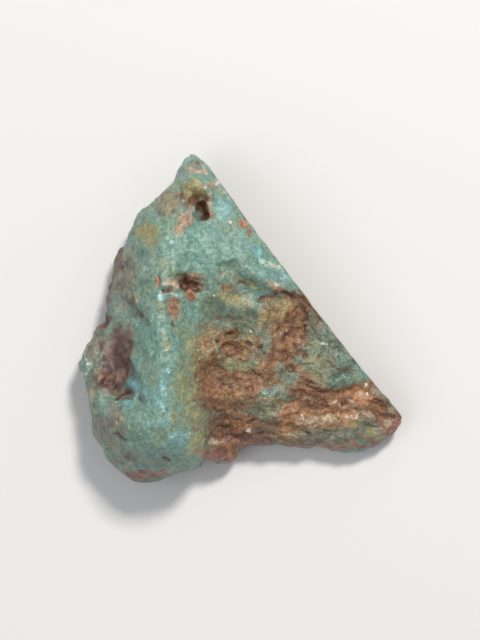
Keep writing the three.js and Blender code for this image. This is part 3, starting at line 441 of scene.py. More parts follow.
        (329, 369, 4, 1.6, -20, 0.5), (225, 345, 5, 1.7, -6, 0.95), (239, 349, 5.5, 1.8, 12, 0.95),
        (256, 345, 4, 1.6, 0, 0.9), (231, 356, 4.5, 1.6, 5, 0.85), (218, 339, 3.5, 1.5, 0, 0.85),
        (209, 352, 4, 1.6, 0, 0.8), (262, 352, 4, 1.6, 20, 0.8),
    ],
}

# fine brown cracks of the upper face, by the same squares: line, half width, strength
cracks = [
    ([(168, 276), (176, 273), (186, 275), (197, 278), (209, 279)], 1.5, 0.5),
    ([(258, 298), (267, 296), (276, 293), (284, 293)], 1.4, 0.7),
    ([(284, 292), (294, 298), (302, 307), (306, 320), (306, 334), (304, 345)], 1.8, 0.7),
    ([(325, 359), (334, 364), (339, 369), (346, 372)], 1.7, 0.7),
    ([(296, 352), (303, 357), (309, 363)], 1.5, 0.6),
    ([(302, 376), (309, 381), (316, 384)], 1.6, 0.65),
    ([(288, 390), (299, 391), (309, 396), (318, 396)], 1.5, 0.7),
    ([(310, 388), (320, 392), (332, 391)], 1.4, 0.6),
    ([(313, 402), (324, 405), (336, 403), (347, 404)], 1.6, 0.7),
    ([(338, 398), (349, 396), (358, 400)], 1.3, 0.6),
    ([(373, 399), (381, 402), (388, 407)], 1.4, 0.8),
    ([(374, 411), (383, 413), (392, 411)], 1.6, 0.8),
    ([(366, 424), (377, 426), (388, 423)], 1.3, 0.6),
    ([(205, 398), (210, 405), (217, 412)], 1.7, 0.6),
    ([(219, 437), (232, 434), (246, 436), (262, 433)], 1.6, 0.7),
    ([(252, 424), (262, 421), (274, 423)], 1.4, 0.5),
    ([(116, 431), (119, 435), (123, 438)], 1.8, 0.8),
    ([(162, 457), (170, 461)], 1.6, 0.7),
    ([(115, 395), (124, 391), (133, 393), (140, 400)], 1.7, 0.7),
    ([(213, 318), (224, 316), (238, 319), (250, 316)], 1.6, 0.45),
    ([(98, 345), (104, 352), (106, 362)], 1.4, 0.4),
    ([(178, 186), (180, 194), (177, 198)], 1.5, 0.6),
    ([(322, 430), (334, 432), (350, 429)], 1.2, 0.35),
    ([(300, 433), (308, 434)], 1.6, 0.5),
    ([(163, 289), (169, 289), (174, 286)], 1.6, 0.7),
    ([(186, 284), (196, 283), (204, 287)], 2.2, 0.8),
    ([(258, 298), (266, 298), (274, 296)], 2.0, 1.0),
    ([(130, 296), (132, 304), (136, 312), (141, 317), (148, 322)], 2.2, 0.85),
]

# the flanks and the underside have patches of the same stains: grain of the patches, how common each
# stain is there, and the seed of its noise
flankStains = {
    "earth": (7.0, 0.05, 19),
    "teal": (5.0, -0.1, 20),
    "matrix": (6.0, 0.12, 11),
    "olive": (4.0, -0.25, 12),
    "golden": (3.4, -0.5, 22),
    "whiteAndHighlight": (1.8, -0.8, 23),
    "rust": (3.0, -0.45, 13),
    "pale": (2.6, -0.5, 14),
    "grey": (5.0, 0.3, 15),
    "mauve": (5.5, -0.05, 18),
    "rose": (4.6, -0.35, 29),
    "blue": (4.4, -0.35, 16),
    "frostAndHighlight": (3.0, -0.6, 28),
    "dark": (2.2, -0.6, 17),
}

# relief too fine for the mounds and seams; lengths and depths in mm
relief = {
    "humps": [(2.0, 0.13, 0.25, 36), (0.9, 0.1, 0.09, 37)],  # grain, depth, extra on the left slope, seed
    "grainSize": 0.62,
    "grainDepth": (0.07, 0.17),          # everywhere, and on top of it where the stone is crumbly
    "slabDepth": 0.14,         # streaks of the slab
    "slopeDepth": 0.28,        # streaks of the left slope
    "lobeCalm": 0.6,           # the slope has this share less of its relief on the lobe
    "bedDepth": 0.08,
    "pockDepth": 0.24,
    "crackDepth": 0.25,
    "paleHeight": 0.08,        # pale and blue crusts stand up
    "blueHeight": 0.05,
    "sink": 0.12,              # the whole relief is set in by this much
    "crumbly": {"matrix": 1, "earth": 0.6, "rust": 0.5},     # how crumbly each stain is
    "pockEdge": (0.26, 0.55),
    "pockShare": (0.08, 0.92), # pocks everywhere, and on top of it where the stone is crumbly
    "splitFade": (0, -0.35),   # distances over which it fades out towards the split face
    "tableFade": (0, 0.3),     # and towards the table
    "splitWaves": [(2.6, 0.1, 41), (1.0, 0.07, 42)],         # waves of the split face: grain, depth, seed
    "waveFade": (-0.6, -0.05),
    "splitMask": (-0.12, -0.02),
}

# where the relief changes: the spans in x and in y over which each part of the face sets in
faceParts = {
    "slab": ((-9, -6.5), (1, 4)),
    "slope": ((-9.5, -12.5), (-8, -10)),  # in y, the span over which it turns into the lobe
    "beds": ((1, 5), (-7.5, -9.5)),
}

# streaky noise: direction along, direction across, its length, width and thickness, and seed
streakLines = {
    "slab": ((0.61, -0.79), (0.79, 0.61), (3.6, 0.9, 3), 31),
    "slope": ((0.3, 0.95), (0.95, -0.3), (3.2, 0.8, 3), 32),
    "beds": ((1, 0), (-0.1, 1), (3.2, 0.9, 0.9), 35),
    "pocks": ((1, 0), (-0.1, 1), (1.05, 0.8, 0.8), 38),
}


def cornerNumber(ix, iy, iz, seed):
    # repeatable number from -1 to 1 for a lattice corner: the fraction of a large sine of its place
    wave = np.sin(ix * 127.1 + iy * 311.7 + iz * 74.7 + seed * 53.9) * 43758.5453
    return 2 * (wave - np.floor(wave)) - 1


def rockNoise(x, y, z, grain, seed):
    # gradient noise, about -1 to 1: each lattice corner round a point has a random slope, and the
    # heights that the slopes give at the point are blended by 6t^5 - 15t^4 + 10t^3 along each axis
    steps = np.array(np.broadcast_arrays(x, y, z), float) / grain
    corner = np.floor(steps)
    part = steps - corner
    ease = part ** 3 * (part * (6 * part - 15) + 10)
    total = 0
    for cx in (0, 1):
        for cy in (0, 1):
            for cz in (0, 1):
                at = (corner[0] + cx, corner[1] + cy, corner[2] + cz)
                rise = (cornerNumber(*at, seed) * (part[0] - cx)
                        + cornerNumber(*at, seed + 1.3) * (part[1] - cy)
                        + cornerNumber(*at, seed + 2.6) * (part[2] - cz))
                weight = abs(1 - cx - ease[0]) * abs(1 - cy - ease[1]) * abs(1 - cz - ease[2])
                total = total + weight * rise
    return 1.5 * total


def grainNoise(x, y, z, size, seed):
    # packed grains: distance to the nearest of the random points, one in each lattice cell, in cells
    steps = np.array(np.broadcast_arrays(x, y, z), float) / size
    corner = np.floor(steps)
    nearest = np.full(steps.shape[1:], 9.0)
    for cx in (-1, 0, 1):
        for cy in (-1, 0, 1):
            for cz in (-1, 0, 1):
                at = (corner[0] + cx, corner[1] + cy, corner[2] + cz)
                away = [at[axis] + 0.5 + 0.45 * cornerNumber(*at, seed + axis) - steps[axis]
                        for axis in range(3)]
                nearest = np.minimum(nearest, away[0] ** 2 + away[1] ** 2 + away[2] ** 2)
    return np.sqrt(nearest)


def strayed(x, y, z, strays, seed):
    # plan place moved about by noise, so that what is laid there gets a wandering edge
    places = [x, y]
    for axis in range(2):
        for number, (grain, reach) in enumerate(strays):
            noise = rockNoise(x, y, z, grain, seed + axis * len(strays) + number)
            places[axis] = places[axis] + reach * noise
    return places


def easeBetween(low, high, value):
    # 0 below low, 1 above high, 3t^2 - 2t^3 between
    t = np.clip((value - low) / (high - low), 0, 1)
    return t * t * (3 - 2 * t)


def roundedMax(a, b, width):
    # the larger of two values, with the corner between them rounded over the width
    overlap = np.maximum(width - np.abs(a - b), 0) / width
    return np.maximum(a, b) + overlap * overlap * width / 4


def sheetThrough(spots):
    # thin-plate spline, the least bent sheet through all spots: a plane plus, for every spot, its
    # weight times r^2 log r^2
    sx, sy, sz = np.array(spots, float).T

    def bend(dx, dy):
        squared = np.maximum(dx * dx + dy * dy, 1e-12)
        return squared * np.log(squared)

    plane = np.stack([np.ones_like(sx), sx, sy], 1)
    rows = np.block([[bend(sx[:, None] - sx, sy[:, None] - sy), plane], [plane.T, np.zeros((3, 3))]])
    weights = np.linalg.solve(rows, np.append(sz, (0, 0, 0)))

    def height(x, y):
        z = weights[-3] + weights[-2] * x + weights[-1] * y
        for spotX, spotY, weight in zip(sx, sy, weights):
            z = z + weight * bend(x - spotX, y - spotY)
        return z

    return height


def distanceToLine(x, y, line):
    # shortest distance to a line of straight pieces
    nearest = np.full(np.shape(x), np.inf)
    for (ax, ay), (bx, by) in zip(line[:-1], line[1:]):
        dx, dy = bx - ax, by - ay
        along = np.clip(((x - ax) * dx + (y - ay) * dy) / (dx * dx + dy * dy), 0, 1)
        nearest = np.minimum(nearest, (x - ax - along * dx) ** 2 + (y - ay - along * dy) ** 2)
    return np.sqrt(nearest)


def outlineDistance(x, y):
    # distance to the outline, negative inside: a point is inside if a line to its right crosses
    # the outline an odd number of times
    ring = [point for stretch in outlineStretches for point in stretch[:-1]]
    ring.append(ring[0])
    inside = np.zeros(np.shape(x), bool)
    for (ax, ay), (bx, by) in zip(ring[:-1], ring[1:]):
        if ay != by:
            inside ^= ((ay > y) != (by > y)) & (x < ax + (bx - ax) * (y - ay) / (by - ay))
    distance = distanceToLine(x, y, ring)
    return np.where(inside, -distance, distance)


def ellipseDistance(x, y, centreX, centreY, halfX, halfY, turn):
    # distance from the centre in half sizes, so 1 on the rim of a turned ellipse
    angle = np.radians(turn)
    dx, dy = x - centreX, y - centreY
    along = (dx * np.cos(angle) + dy * np.sin(angle)) / halfX
    across = (dy * np.cos(angle) - dx * np.sin(angle)) / halfY
    return np.hypot(along, across)


upperSheet = sheetThrough(upperSpots)
undersideSheet = sheetThrough(undersideSpots)


def upperHeight(x, y):
    # the upper face: the sheet, plus bell-shaped mounds and seams that stray, less the steeper pits,
    # whose rims are ragged
    strayX, strayY = strayed(x, y, 0, wander["forms"], 1)
    z = upperSheet(x, y)
    for *ellipse, height in mounds:
        z = z + height * np.exp(-ellipseDistance(strayX, strayY, *ellipse) ** 2)
    for line, halfWidth, height in seams:
        z = z + height * np.exp(-(distanceToLine(strayX, strayY, line) / halfWidth) ** 2)
    own, shared = 1 - wander["pitShare"], wander["pitShare"]
    ragX = own * x + shared * strayX + wander["pitReach"] * rockNoise(x, y, 0, wander["pitGrain"], 4)
    ragY = own * y + shared * strayY + wander["pitReach"] * rockNoise(x, y, 0, wander["pitGrain"], 5)
    for *ellipse, depth in pits:
        z = z - depth * np.exp(-ellipseDistance(ragX, ragY, *ellipse) ** 3)
    return z


def alongSplit(x, y):
    # place along the split face, positive towards the peak
    return nugget["splitNormal"][0] * y - nugget["splitNormal"][1] * x


def splitBulge(x, y):
    # the split face curves outwards by the square of the distance along it, towards both its ends
    along = alongSplit(x, y)
    (peakStart, peakRun), (tipStart, tipRun) = nugget["bulgeRuns"]
    peakward = np.clip((along - peakStart) / peakRun, 0, nugget["bulgeLimit"])
    tipward = np.clip((-along - tipStart) / tipRun, 0, nugget["bulgeLimit"])
    return nugget["splitBulge"] * peakward ** 2 + nugget["splitBulge"] * tipward ** 2


def splitDistance(x, y):
    # how far a point lies beyond the split face, a plane with a bulge towards each end
    plane = x * nugget["splitNormal"][0] + y * nugget["splitNormal"][1] - nugget["splitDistance"]
    return plane - splitBulge(x, y)


def roughStone(x, y, z):
    # how far a point lies outside the natural stone: outside the outline, which draws in below and
    # above its widest level, above the upper face or below the underside, less lumps and unevenness
    upper = upperHeight(x, y)
    girdle = nugget["girdleShare"] * upper
    below = np.maximum(girdle - z, 0) / girdle
    above = np.maximum(z - girdle, 0) / (upper - girdle)
    flank = outlineDistance(x, y) + nugget["flankTuck"] * below ** 2 + nugget["flankLean"] * above ** 2
    body = roundedMax(flank, z - upper, nugget["upperRoundShare"] * upper)
    body = roundedMax(body, undersideSheet(x, y) - z, nugget["lowerRoundShare"] * upper)
    for centreX, centreY, centreZ, reach, height in lumps:
        squared = (x - centreX) ** 2 + (y - centreY) ** 2 + (z - centreZ) ** 2
        body = body - height * np.exp(-squared / reach ** 2)
    rougher = np.exp(-((x - roughPatch["at"][0]) / roughPatch["reach"][0]) ** 2
                     - ((y - roughPatch["at"][1]) / roughPatch["reach"][1]) ** 2)
    bumps = sum(depth * rockNoise(x, y, z, grain, 3) for grain, depth in unevenness)
    return body - (1 + roughPatch["extra"] * rougher) * bumps


def wholeStone(x, y, z):
    # the natural stone cut by the split face, whose two ends are worn round, and worn flat underneath
    along = alongSplit(x, y)
    atEnds = sum(easeBetween(start, full, along) for start, full in nugget["wornEnds"])
    worn = nugget["edgeWear"] + nugget["endWear"] * atEnds
    return np.maximum(roundedMax(roughStone(x, y, z), splitDistance(x, y), worn), -z)


def findSkin(outsideness, start, end):
    # the points at which the lines from start to end leave the stone, found by halving
    within, beyond = np.zeros(start.shape[1]), np.ones(start.shape[1])
    for _ in range(nugget["halvings"]):
        middle = (within + beyond) / 2
        out = outsideness(*(start + middle * (end - start))) > 0
        within, beyond = np.where(out, within, middle), np.where(out, middle, beyond)
    return start + within * (end - start)


def rimPoints(place):
    # points of the outline: the whole part of the place picks the stretch, the rest the way along it
    share = np.linspace(0, 1, nugget["edgePoints"])[:, None]
    first, last = np.array(nugget["splitCorners"], float)
    edge = last + share * (first - last)
    edge = edge + splitBulge(*edge.T)[:, None] * np.array(nugget["splitNormal"])
    rims = [[edge[-1], *outlineStretches[0][2:]], outlineStretches[1],
            [*outlineStretches[2][:-2], edge[0]], edge]
    stretch = np.floor(place).astype(int) % 4
    points = np.zeros((2, len(place)))
    for number, rim in enumerate(rims):
        rim = np.array(rim)
        run = np.append(0, np.cumsum(np.hypot(*np.diff(rim, axis=0).T)))
        chosen = stretch == number
        along = (place[chosen] % 1) * run[-1]
        points[:, chosen] = np.interp(along, run, rim[:, 0]), np.interp(along, run, rim[:, 1])
    return points


def planPoints(a, b):
    # plan of a square grid of points from -1 to 1: each square ring becomes a smaller outline
    ring = np.maximum(np.abs(a), np.abs(b))
    u, v = a / np.maximum(ring, 1e-9), b / np.maximum(ring, 1e-9)
    place = np.select([v >= 1, u <= -1, v <= -1], [(1 - u) / 2, 1 + (1 - v) / 2, 2 + (1 + u) / 2],
                      3 + (1 + v) / 2)
    centre = np.array(nugget["coreCentre"], float)[:, None]
    return centre + ring * (rimPoints(place) - centre)


def boxOfCells():
    # corners and faces of a box of cells: a fine square grid above, a grid with half as many cells
    # each way below, and a fine band of rows between; slim triangles close the seam of the lower grid
    n, m, half = nugget["faceCells"], nugget["flankCells"], nugget["faceCells"] // 2
    upper = np.arange((n + 1) ** 2).reshape(n + 1, n + 1)
    lower = upper.size + np.arange((half + 1) ** 2).reshape(half + 1, half + 1)
    steps, full, none = np.arange(n), np.full(n, n), np.zeros(n, int)
    rimI = np.concatenate([steps, full, n - steps, none])
    rimJ = np.concatenate([none, steps, full, n - steps])
    band = upper.size + lower.size + np.arange(m * 4 * n).reshape(m, 4 * n)
    even = (rimI + rimJ) % 2 == 0
    band[0, even] = lower[rimI[even] // 2, rimJ[even] // 2]
    rows = np.vstack([band, upper[rimI, rimJ]])
    nextRows = np.roll(rows, -1, axis=1)
    count = band.max() + 1
    a, b, level = np.zeros(count), np.zeros(count), np.zeros(count)
    for grid, size in ((upper, n), (lower, half)):
        place = np.arange(size + 1) * 2 / size - 1
        a[grid], b[grid] = place[:, None], place[None, :]
    a[band], b[band] = rimI * 2 / n - 1, rimJ * 2 / n - 1
    level[upper] = 1
    level[band[1:]] = np.arange(1, m)[:, None] / m
    quads = [
        (upper[:-1, :-1], upper[1:, :-1], upper[1:, 1:], upper[:-1, 1:]),
        (lower[:-1, :-1], lower[:-1, 1:], lower[1:, 1:], lower[1:, :-1]),
        (rows[:-1], nextRows[:-1], nextRows[1:], rows[1:]),
    ]
    quads = np.vstack([np.stack([corner.ravel() for corner in quad], 1) for quad in quads])
    seam = np.stack([rows[0, ::2], nextRows[0, 1::2], nextRows[0, ::2]], 1)
    return a, b, level, quads, seam


def stoneSkin():
    # the skin of the stone: each corner of the box of cells is drawn along the line from the core
    # plate through its mark, and the marks along the split face lie exactly on its edges; the core
    # plate is the outline drawn in towards its middle, by the fourth power of the ring
    a, b, level, quads, seam = boxOfCells()
    x, y = planPoints(a, b)
    ring = np.maximum(np.abs(a), np.abs(b))
    markZ = level * upperSheet(x, y)
    onSplit = (ring == 1) & (a == 1)
    edgeX, edgeY = x[onSplit], y[onSplit]
    middle = np.stack([edgeX, edgeY, nugget["edgeDepth"] * upperSheet(edgeX, edgeY)])
    under, over = [np.stack([edgeX, edgeY, np.full_like(edgeX, clear)])
                   for clear in nugget["clearLevels"]]
    topEdge = findSkin(roughStone, middle, over)[2]
    lowEdge = np.maximum(findSkin(roughStone, middle, under)[2], 0)
    markZ[onSplit] = lowEdge + level[onSplit] * (topEdge - lowEdge)
    centreX, centreY = nugget["coreCentre"]
    drawn = 1 - (1 - nugget["coreShare"]) * ring ** 4
    coreX, coreY = centreX + drawn * (x - centreX), centreY + drawn * (y - centreY)
    core = np.stack([coreX, coreY, nugget["coreDepth"] * upperSheet(coreX, coreY)])
    mark = np.stack([x, y, markZ])
    return findSkin(wholeStone, core, core + nugget["searchReach"] * (mark - core)), quads, seam


def cornerNormals(points, quads):
    # average of the directions of the faces round each corner, by the cross product of the diagonals
    diagonalA = points[:, quads[:, 2]] - points[:, quads[:, 0]]
    diagonalB = points[:, quads[:, 3]] - points[:, quads[:, 1]]
    facing = np.cross(diagonalA, diagonalB, axis=0)
    total = np.zeros_like(points)
    for axis in range(3):
        for corner in range(4):
            total[axis] += np.bincount(quads[:, corner], facing[axis], points.shape[1])
    return total / np.maximum(np.linalg.norm(total, axis=0), 1e-12)


def fromView(column, row):
    # plan place in mm of the stone under a square of the overhead view; squares cover less of the
    # stone where its face is nearer to the lens
    x, y = 0, 0
    for _ in range(overhead["rounds"]):
        nearness = (overhead["lens"] - upperSheet(x, y)) / (overhead["lens"] - overhead["level"])
        x = overhead["middle"][0] + (column - overhead["columns"] / 2) * overhead["square"] * nearness
        y = overhead["middle"][1] + (overhead["rows"] / 2 - row) * overhead["square"] * nearness
    return x, y


def spotCover(x, y, spots):
    # share covered by any of a stain's ellipses, whose edges fade out
    bare = np.ones_like(x)
    for column, row, halfColumns, halfRows, turn, strength in spots:
        halfSizes = halfColumns * overhead["square"], halfRows * overhead["square"]
        away = ellipseDistance(x, y, *fromView(column, row), *halfSizes, turn)
        bare = bare * (1 - strength * (1 - easeBetween(*staining["spotEdge"], away)))
    return 1 - bare


def stainMasks(points):
    # share of each stain, 0 to 1, the painted highlights and shade among them: ellipses on the upper face
    # give way to patches of noise towards the underside and on the split face
    x, y, z = points
    height = upperSheet(x, y)
    strayX, strayY = strayed(x, y, z, staining["stray"], 21)
    split = (easeBetween(*staining["splitSide"], splitDistance(x, y))
             * easeBetween(*staining["splitDepth"], height - z))
    upness = easeBetween(*staining["spotLevels"], z / height) * (1 - split)
    coverage = staining["patchCover"] - staining["splitBare"] * split
    masks = {}
    for name, spots in stains.items():
        grain, share, seed = flankStains[name]
        patch = easeBetween(*staining["patchEdge"], rockNoise(x, y, z, grain, seed) + share
                            + staining["patchBreak"] * rockNoise(x, y, z, grain / 4, seed))
        masks[name] = upness * spotCover(strayX, strayY, spots) + (1 - upness) * coverage * patch
    masks["matrix"] = masks["matrix"] * (1 - staining["tealOverMatrix"] * masks["teal"])
    crackX, crackY = strayed(x, y, z, staining["crackStray"], 25)
    broken = easeBetween(*staining["crackBreak"], rockNoise(x, y, z, staining["crackGrain"], 27))
    for line, halfColumns, strength in cracks:
        away = distanceToLine(crackX, crackY, [fromView(*square) for square in line])
        near = np.exp(-(away / (halfColumns * overhead["square"])) ** 2)
        masks["dark"] = 1 - (1 - masks["dark"]) * (1 - strength * upness * broken * near)
    return masks


def streaks(name, x, y, z):
    # noise drawn out along a direction: the place along, across and above is divided by the streak's
    # length, width and thickness
    along, across, (length, width, thickness), seed = streakLines[name]
    return rockNoise((along[0] * x + along[1] * y) / length, (across[0] * x + across[1] * y) / width,
                     z / thickness, 1, seed)


def fineRelief(points, masks):
    # height of the relief too fine for the solid: soft humps and packed grains all over, coarser where
    # the stone is crumbly, streaks that run down the slab and the left slope, beds above the lower rim,
    # and small pocks, which are kept as a mask of their own
    x, y, z = points
    spans = {name: (easeBetween(*spanX, x), easeBetween(*spanY, y))
             for name, (spanX, spanY) in faceParts.items()}
    slab = spans["slab"][0] * spans["slab"][1]
    slope = spans["slope"][0] * (1 - relief["lobeCalm"] * spans["slope"][1])
    bedded = spans["beds"][0] * spans["beds"][1]
    crumbly = np.clip(sum(share * masks[name] for name, share in relief["crumbly"].items()), 0, 1)
    humps = sum((depth + extra * slope) * rockNoise(x, y, z, grain, seed)
                for grain, depth, extra, seed in relief["humps"])
    grainDepth, crumbDepth = relief["grainDepth"]
    grains = (grainDepth + crumbDepth * crumbly) * (0.5 - grainNoise(x, y, z, relief["grainSize"], 33))
    soundShare, crumbShare = relief["pockShare"]
    pocks = easeBetween(*relief["pockEdge"], streaks("pocks", x, y, z))
    masks["pock"] = pocks * (soundShare + crumbShare * crumbly)
    return (humps + grains + relief["slabDepth"] * slab * streaks("slab", x, y, z)
            + relief["slopeDepth"] * slope * streaks("slope", x, y, z)
            + relief["bedDepth"] * bedded * streaks("beds", x, y, z) - relief["pockDepth"] * masks["pock"]
            - relief["crackDepth"] * masks["dark"] + relief["paleHeight"] * masks["pale"]
            + relief["blueHeight"] * masks["blue"] - relief["sink"])


def buildNugget():
    # the skin, its fine relief, and the stains as attributes of its corners
    points, quads, seam = stoneSkin()
    masks = stainMasks(points)
    beyond = splitDistance(*points[:2])
    natural = easeBetween(*relief["splitFade"], beyond) * easeBetween(*relief["tableFade"], points[2])
    points = points + cornerNormals(points, quads) * (natural * fineRelief(points, masks))
    waves = sum(depth * rockNoise(*points, grain, seed) for grain, depth, seed in relief["splitWaves"])
    outward = np.array(nugget["splitNormal"])[:, None]
    points[:2] += outward * easeBetween(*relief["waveFade"], beyond) * waves
    points[2] = np.maximum(points[2], 0)
    mesh = bpy.data.meshes.new("nugget_skin")
    mesh.from_pydata((points.T * metresPerMm).tolist(), [], quads.tolist() + seam.tolist())
    mesh.shade_smooth()
    masks["split"] = easeBetween(*relief["splitMask"], beyond)
    for name, mask in masks.items():
        mesh.attributes.new(name, "FLOAT", "POINT").data.foreach_set("value", mask.astype(np.float32))
    piece = bpy.data.objects.new("nugget_stone", mesh)
    bpy.context.collection.objects.link(piece)
    print("stone:", points.shape[1], "corners,", len(quads), "quads")
    return piece


# finish of the stone: colours as red green blue from 0 to 255
finish = {
    "turquoise": (99, 132, 120),
    "pock": (104, 64, 42),
    "pockStrength": 0.45,
    "glint": (236, 232, 222),
    "turquoiseRoughness": 0.46,
    "matrixRoughness": 0.62,
    "roughnessSpread": 0.16,   # how much it varies from grain to grain
    "splitPolish": 0.1,        # the split face is smoother by this much
    "coat": 0.08,              # faint waxy film
    "coatRoughness": 0.3,
    "glow": 0.3,               # share of the light that goes a little way into the stone
    "glowDepth": 0.0008,       # and how deep, in metres
    "darkestShade": 0.66,      # the grain shades the colours from this brightness up
    "coarseShade": 0.3,        # brightness that coarse and fine noise and grit add to it
    "fineShade": 0.24,
    "gritShade": 0.32,
    "coarseEdge": (0.32, 0.68),          # noise values between which each of them comes in
    "fineEdge": (0.3, 0.7),
    "gritEdge": (0.25, 0.75),
    "sandy": (0.3, 0.7),       # strength of the grit everywhere, and on top of it where crumbly
    "coarseRise": 0.16,        # heights of the finest relief in mm
    "fineRise": 0.06,
    "gritRise": -0.12,
    "lineRise": 0.3,
    "lineStretch": (1, 0.1, 2.6),        # lines drawn out along the split face
    "reliefStrength": 0.9,
    "glintEdge": (0.16, 0.08), # size of the glints, as shares of their spacing
    "glintRarity": (0.95, 0.97),
    "sandyGlints": 0.1,        # more of them where crumbly
}

# noise inside each stain: its detail, its roughness for the edge and for the tones, the scale and the
# span of the tones, and the span over which a faint mask starts to count
stainNoise = {
    "detail": 3.0,
    "edgeRoughness": 0.55,
    "toneRoughness": 0.6,
    "toneScale": 0.8,
    "toneEdge": (0.34, 0.66),
    "maskEdge": (0.02, 0.2),
}

# noises of the stone: features to a mm, detail and roughness
grainClouds = {"coarse": (1.8, 3.0, 0.6), "fine": (4.2, 2.0, 0.6), "lines": (1.0, 2.0, 0.6)}
grainCells = {"grit": 3.3, "glints": 1.5}

# clouds of the turquoise, one over the other: colour, noise as above, the values of the noise between
# which the cloud comes in, and its strength
turquoiseClouds = [
    ((116, 132, 104), (0.24, 4.0, 0.6), (0.42, 0.62), 1),     # greenish
    ((112, 147, 134), (1.1, 5.0, 0.7), (0.42, 0.7), 1),       # pale
    ((78, 110, 100), (1.7, 4.0, 0.65), (0.48, 0.7), 1),       # deep
    ((146, 178, 164), (2.4, 2.0, 0.5), (0.55, 0.68), 0.5),    # flecks
]

# stains in the order in which they lie on each other, painted highlights (white, frost) and painted shade
# (dark, mauve) among them: light and dark tone, grains to a mm, how far noise breaks up the edge, and how
# soft the edge is
stainLooks = {
    "earth": ((126, 99, 67), (95, 71, 46), 0.8, 1.0, 0.45),
    "teal": ((106, 118, 98), (78, 92, 76), 1.0, 1.3, 0.35),
    "grey": ((130, 127, 111), (94, 92, 80), 1.1, 1.4, 0.35),
    "olive": ((154, 150, 102), (128, 120, 80), 1.0, 1.3, 0.45),
    "mauve": ((112, 87, 77), (78, 58, 51), 1.1, 1.2, 0.35),
    "rose": ((156, 108, 92), (114, 76, 64), 1.2, 1.2, 0.4),
    "matrix": ((134, 98, 64), (88, 61, 41), 1.2, 1.4, 0.35),
    "golden": ((170, 122, 80), (123, 85, 55), 1.6, 1.4, 0.4),
    "rust": ((158, 114, 84), (116, 80, 56), 1.6, 1.5, 0.4),
    "blue": ((112, 158, 154), (88, 130, 128), 1.1, 1.2, 0.45),
    "frostAndHighlight": ((184, 214, 204), (142, 178, 168), 2.6, 2.0, 0.35),
    "pale": ((184, 164, 140), (150, 130, 106), 1.9, 1.3, 0.35),
    "whiteAndHighlight": ((226, 218, 206), (180, 168, 152), 2.4, 0.6, 0.4),
    "dark": ((104, 64, 42), (64, 38, 26), 1.6, 0.8, 0.4),
}


def paint(shade):
    # linear colour of a shade, by the sRGB curve
    share = np.array(shade) / 255
    linear = np.where(share > 0.04045, ((share + 0.055) / 1.055) ** 2.4, share / 12.92)
    return (*linear.tolist(), 1)


def addNode(tree, kind, inputs, **settings):
    # a shader node with its settings, and its inputs given as numbers or linked to other sockets
    node = tree.nodes.new(kind)
    for name, value in settings.items():
        setattr(node, name, value)
    for socket, value in inputs.items():
        if isinstance(value, bpy.types.NodeSocket):
            tree.links.new(value, node.inputs[socket])
        else:
            node.inputs[socket].default_value = value
    return node


def calculate(tree, operation, *values):
    return addNode(tree, "ShaderNodeMath", dict(enumerate(values)), operation=operation).outputs[0]


def addShare(tree, base, value, share):
    # the base plus a share of a value
    return calculate(tree, "MULTIPLY_ADD", value, share, base)


def blendColours(tree, share, first, second):
    return addNode(tree, "ShaderNodeMix", {0: share, 6: first, 7: second}, data_type="RGBA").outputs[2]


def cloud(tree, place, scale, detail, roughness):
    inputs = {"Vector": place, "Scale": scale, "Detail": detail, "Roughness": roughness}
    return addNode(tree, "ShaderNodeTexNoise", inputs).outputs["Fac"]


def cells(tree, place, scale):
    return addNode(tree, "ShaderNodeTexVoronoi", {"Vector": place, "Scale": scale}).outputs


def turnPlace(tree, place, inputs):
    return addNode(tree, "ShaderNodeMapping", {"Vector": place, **inputs}).outputs[0]


def mapRange(tree, inputs, **settings):
    return addNode(tree, "ShaderNodeMapRange", inputs, **settings).outputs["Result"]


def steepen(tree, value, low, high):
    inputs = {"Value": value, "From Min": low, "From Max": high}
    return mapRange(tree, inputs, interpolation_type="SMOOTHSTEP")


def readMask(tree, name):
    return addNode(tree, "ShaderNodeAttribute", {}, attribute_name=name).outputs["Fac"]


def stainGroup():
    # lays a two-toned stain over a colour: it covers where the mask plus its own noise passes a half,
    # so a weak mask gives scattered patches and a strong one a full coat with a broken edge
    tree = bpy.data.node_groups.new("mineral_stain", "ShaderNodeTree")
    wanted = {"Place": "Vector", "Color": "Color", "Light": "Color", "Dark": "Color", "Mask": "Float",
              "Grain": "Float", "Break": "Float", "Softness": "Float"}
    for name, kind in wanted.items():
        tree.interface.new_socket(name, in_out="INPUT", socket_type="NodeSocket" + kind)
    tree.interface.new_socket("Color", in_out="OUTPUT", socket_type="NodeSocketColor")
    tree.interface.new_socket("Amount", in_out="OUTPUT", socket_type="NodeSocketFloat")
    given = tree.nodes.new("NodeGroupInput").outputs
    edgeCloud = cloud(tree, given["Place"], given["Grain"], stainNoise["detail"],
                      stainNoise["edgeRoughness"])
    edgeNoise = calculate(tree, "SUBTRACT", edgeCloud, 0.5)
    reach = addShare(tree, given["Mask"], edgeNoise, given["Break"])
    low = calculate(tree, "SUBTRACT", 0.5, given["Softness"])
    high = calculate(tree, "ADD", 0.5, given["Softness"])
    present = steepen(tree, given["Mask"], *stainNoise["maskEdge"])
    amount = calculate(tree, "MULTIPLY", steepen(tree, reach, low, high), present)
    toneGrain = calculate(tree, "MULTIPLY", given["Grain"], stainNoise["toneScale"])
    toneCloud = cloud(tree, given["Place"], toneGrain, stainNoise["detail"], stainNoise["toneRoughness"])
    tone = steepen(tree, toneCloud, *stainNoise["toneEdge"])
    stain = blendColours(tree, tone, given["Dark"], given["Light"])
    result = tree.nodes.new("NodeGroupOutput").inputs
    tree.links.new(blendColours(tree, amount, given["Color"], stain), result["Color"])
    tree.links.new(amount, result["Amount"])
    return tree


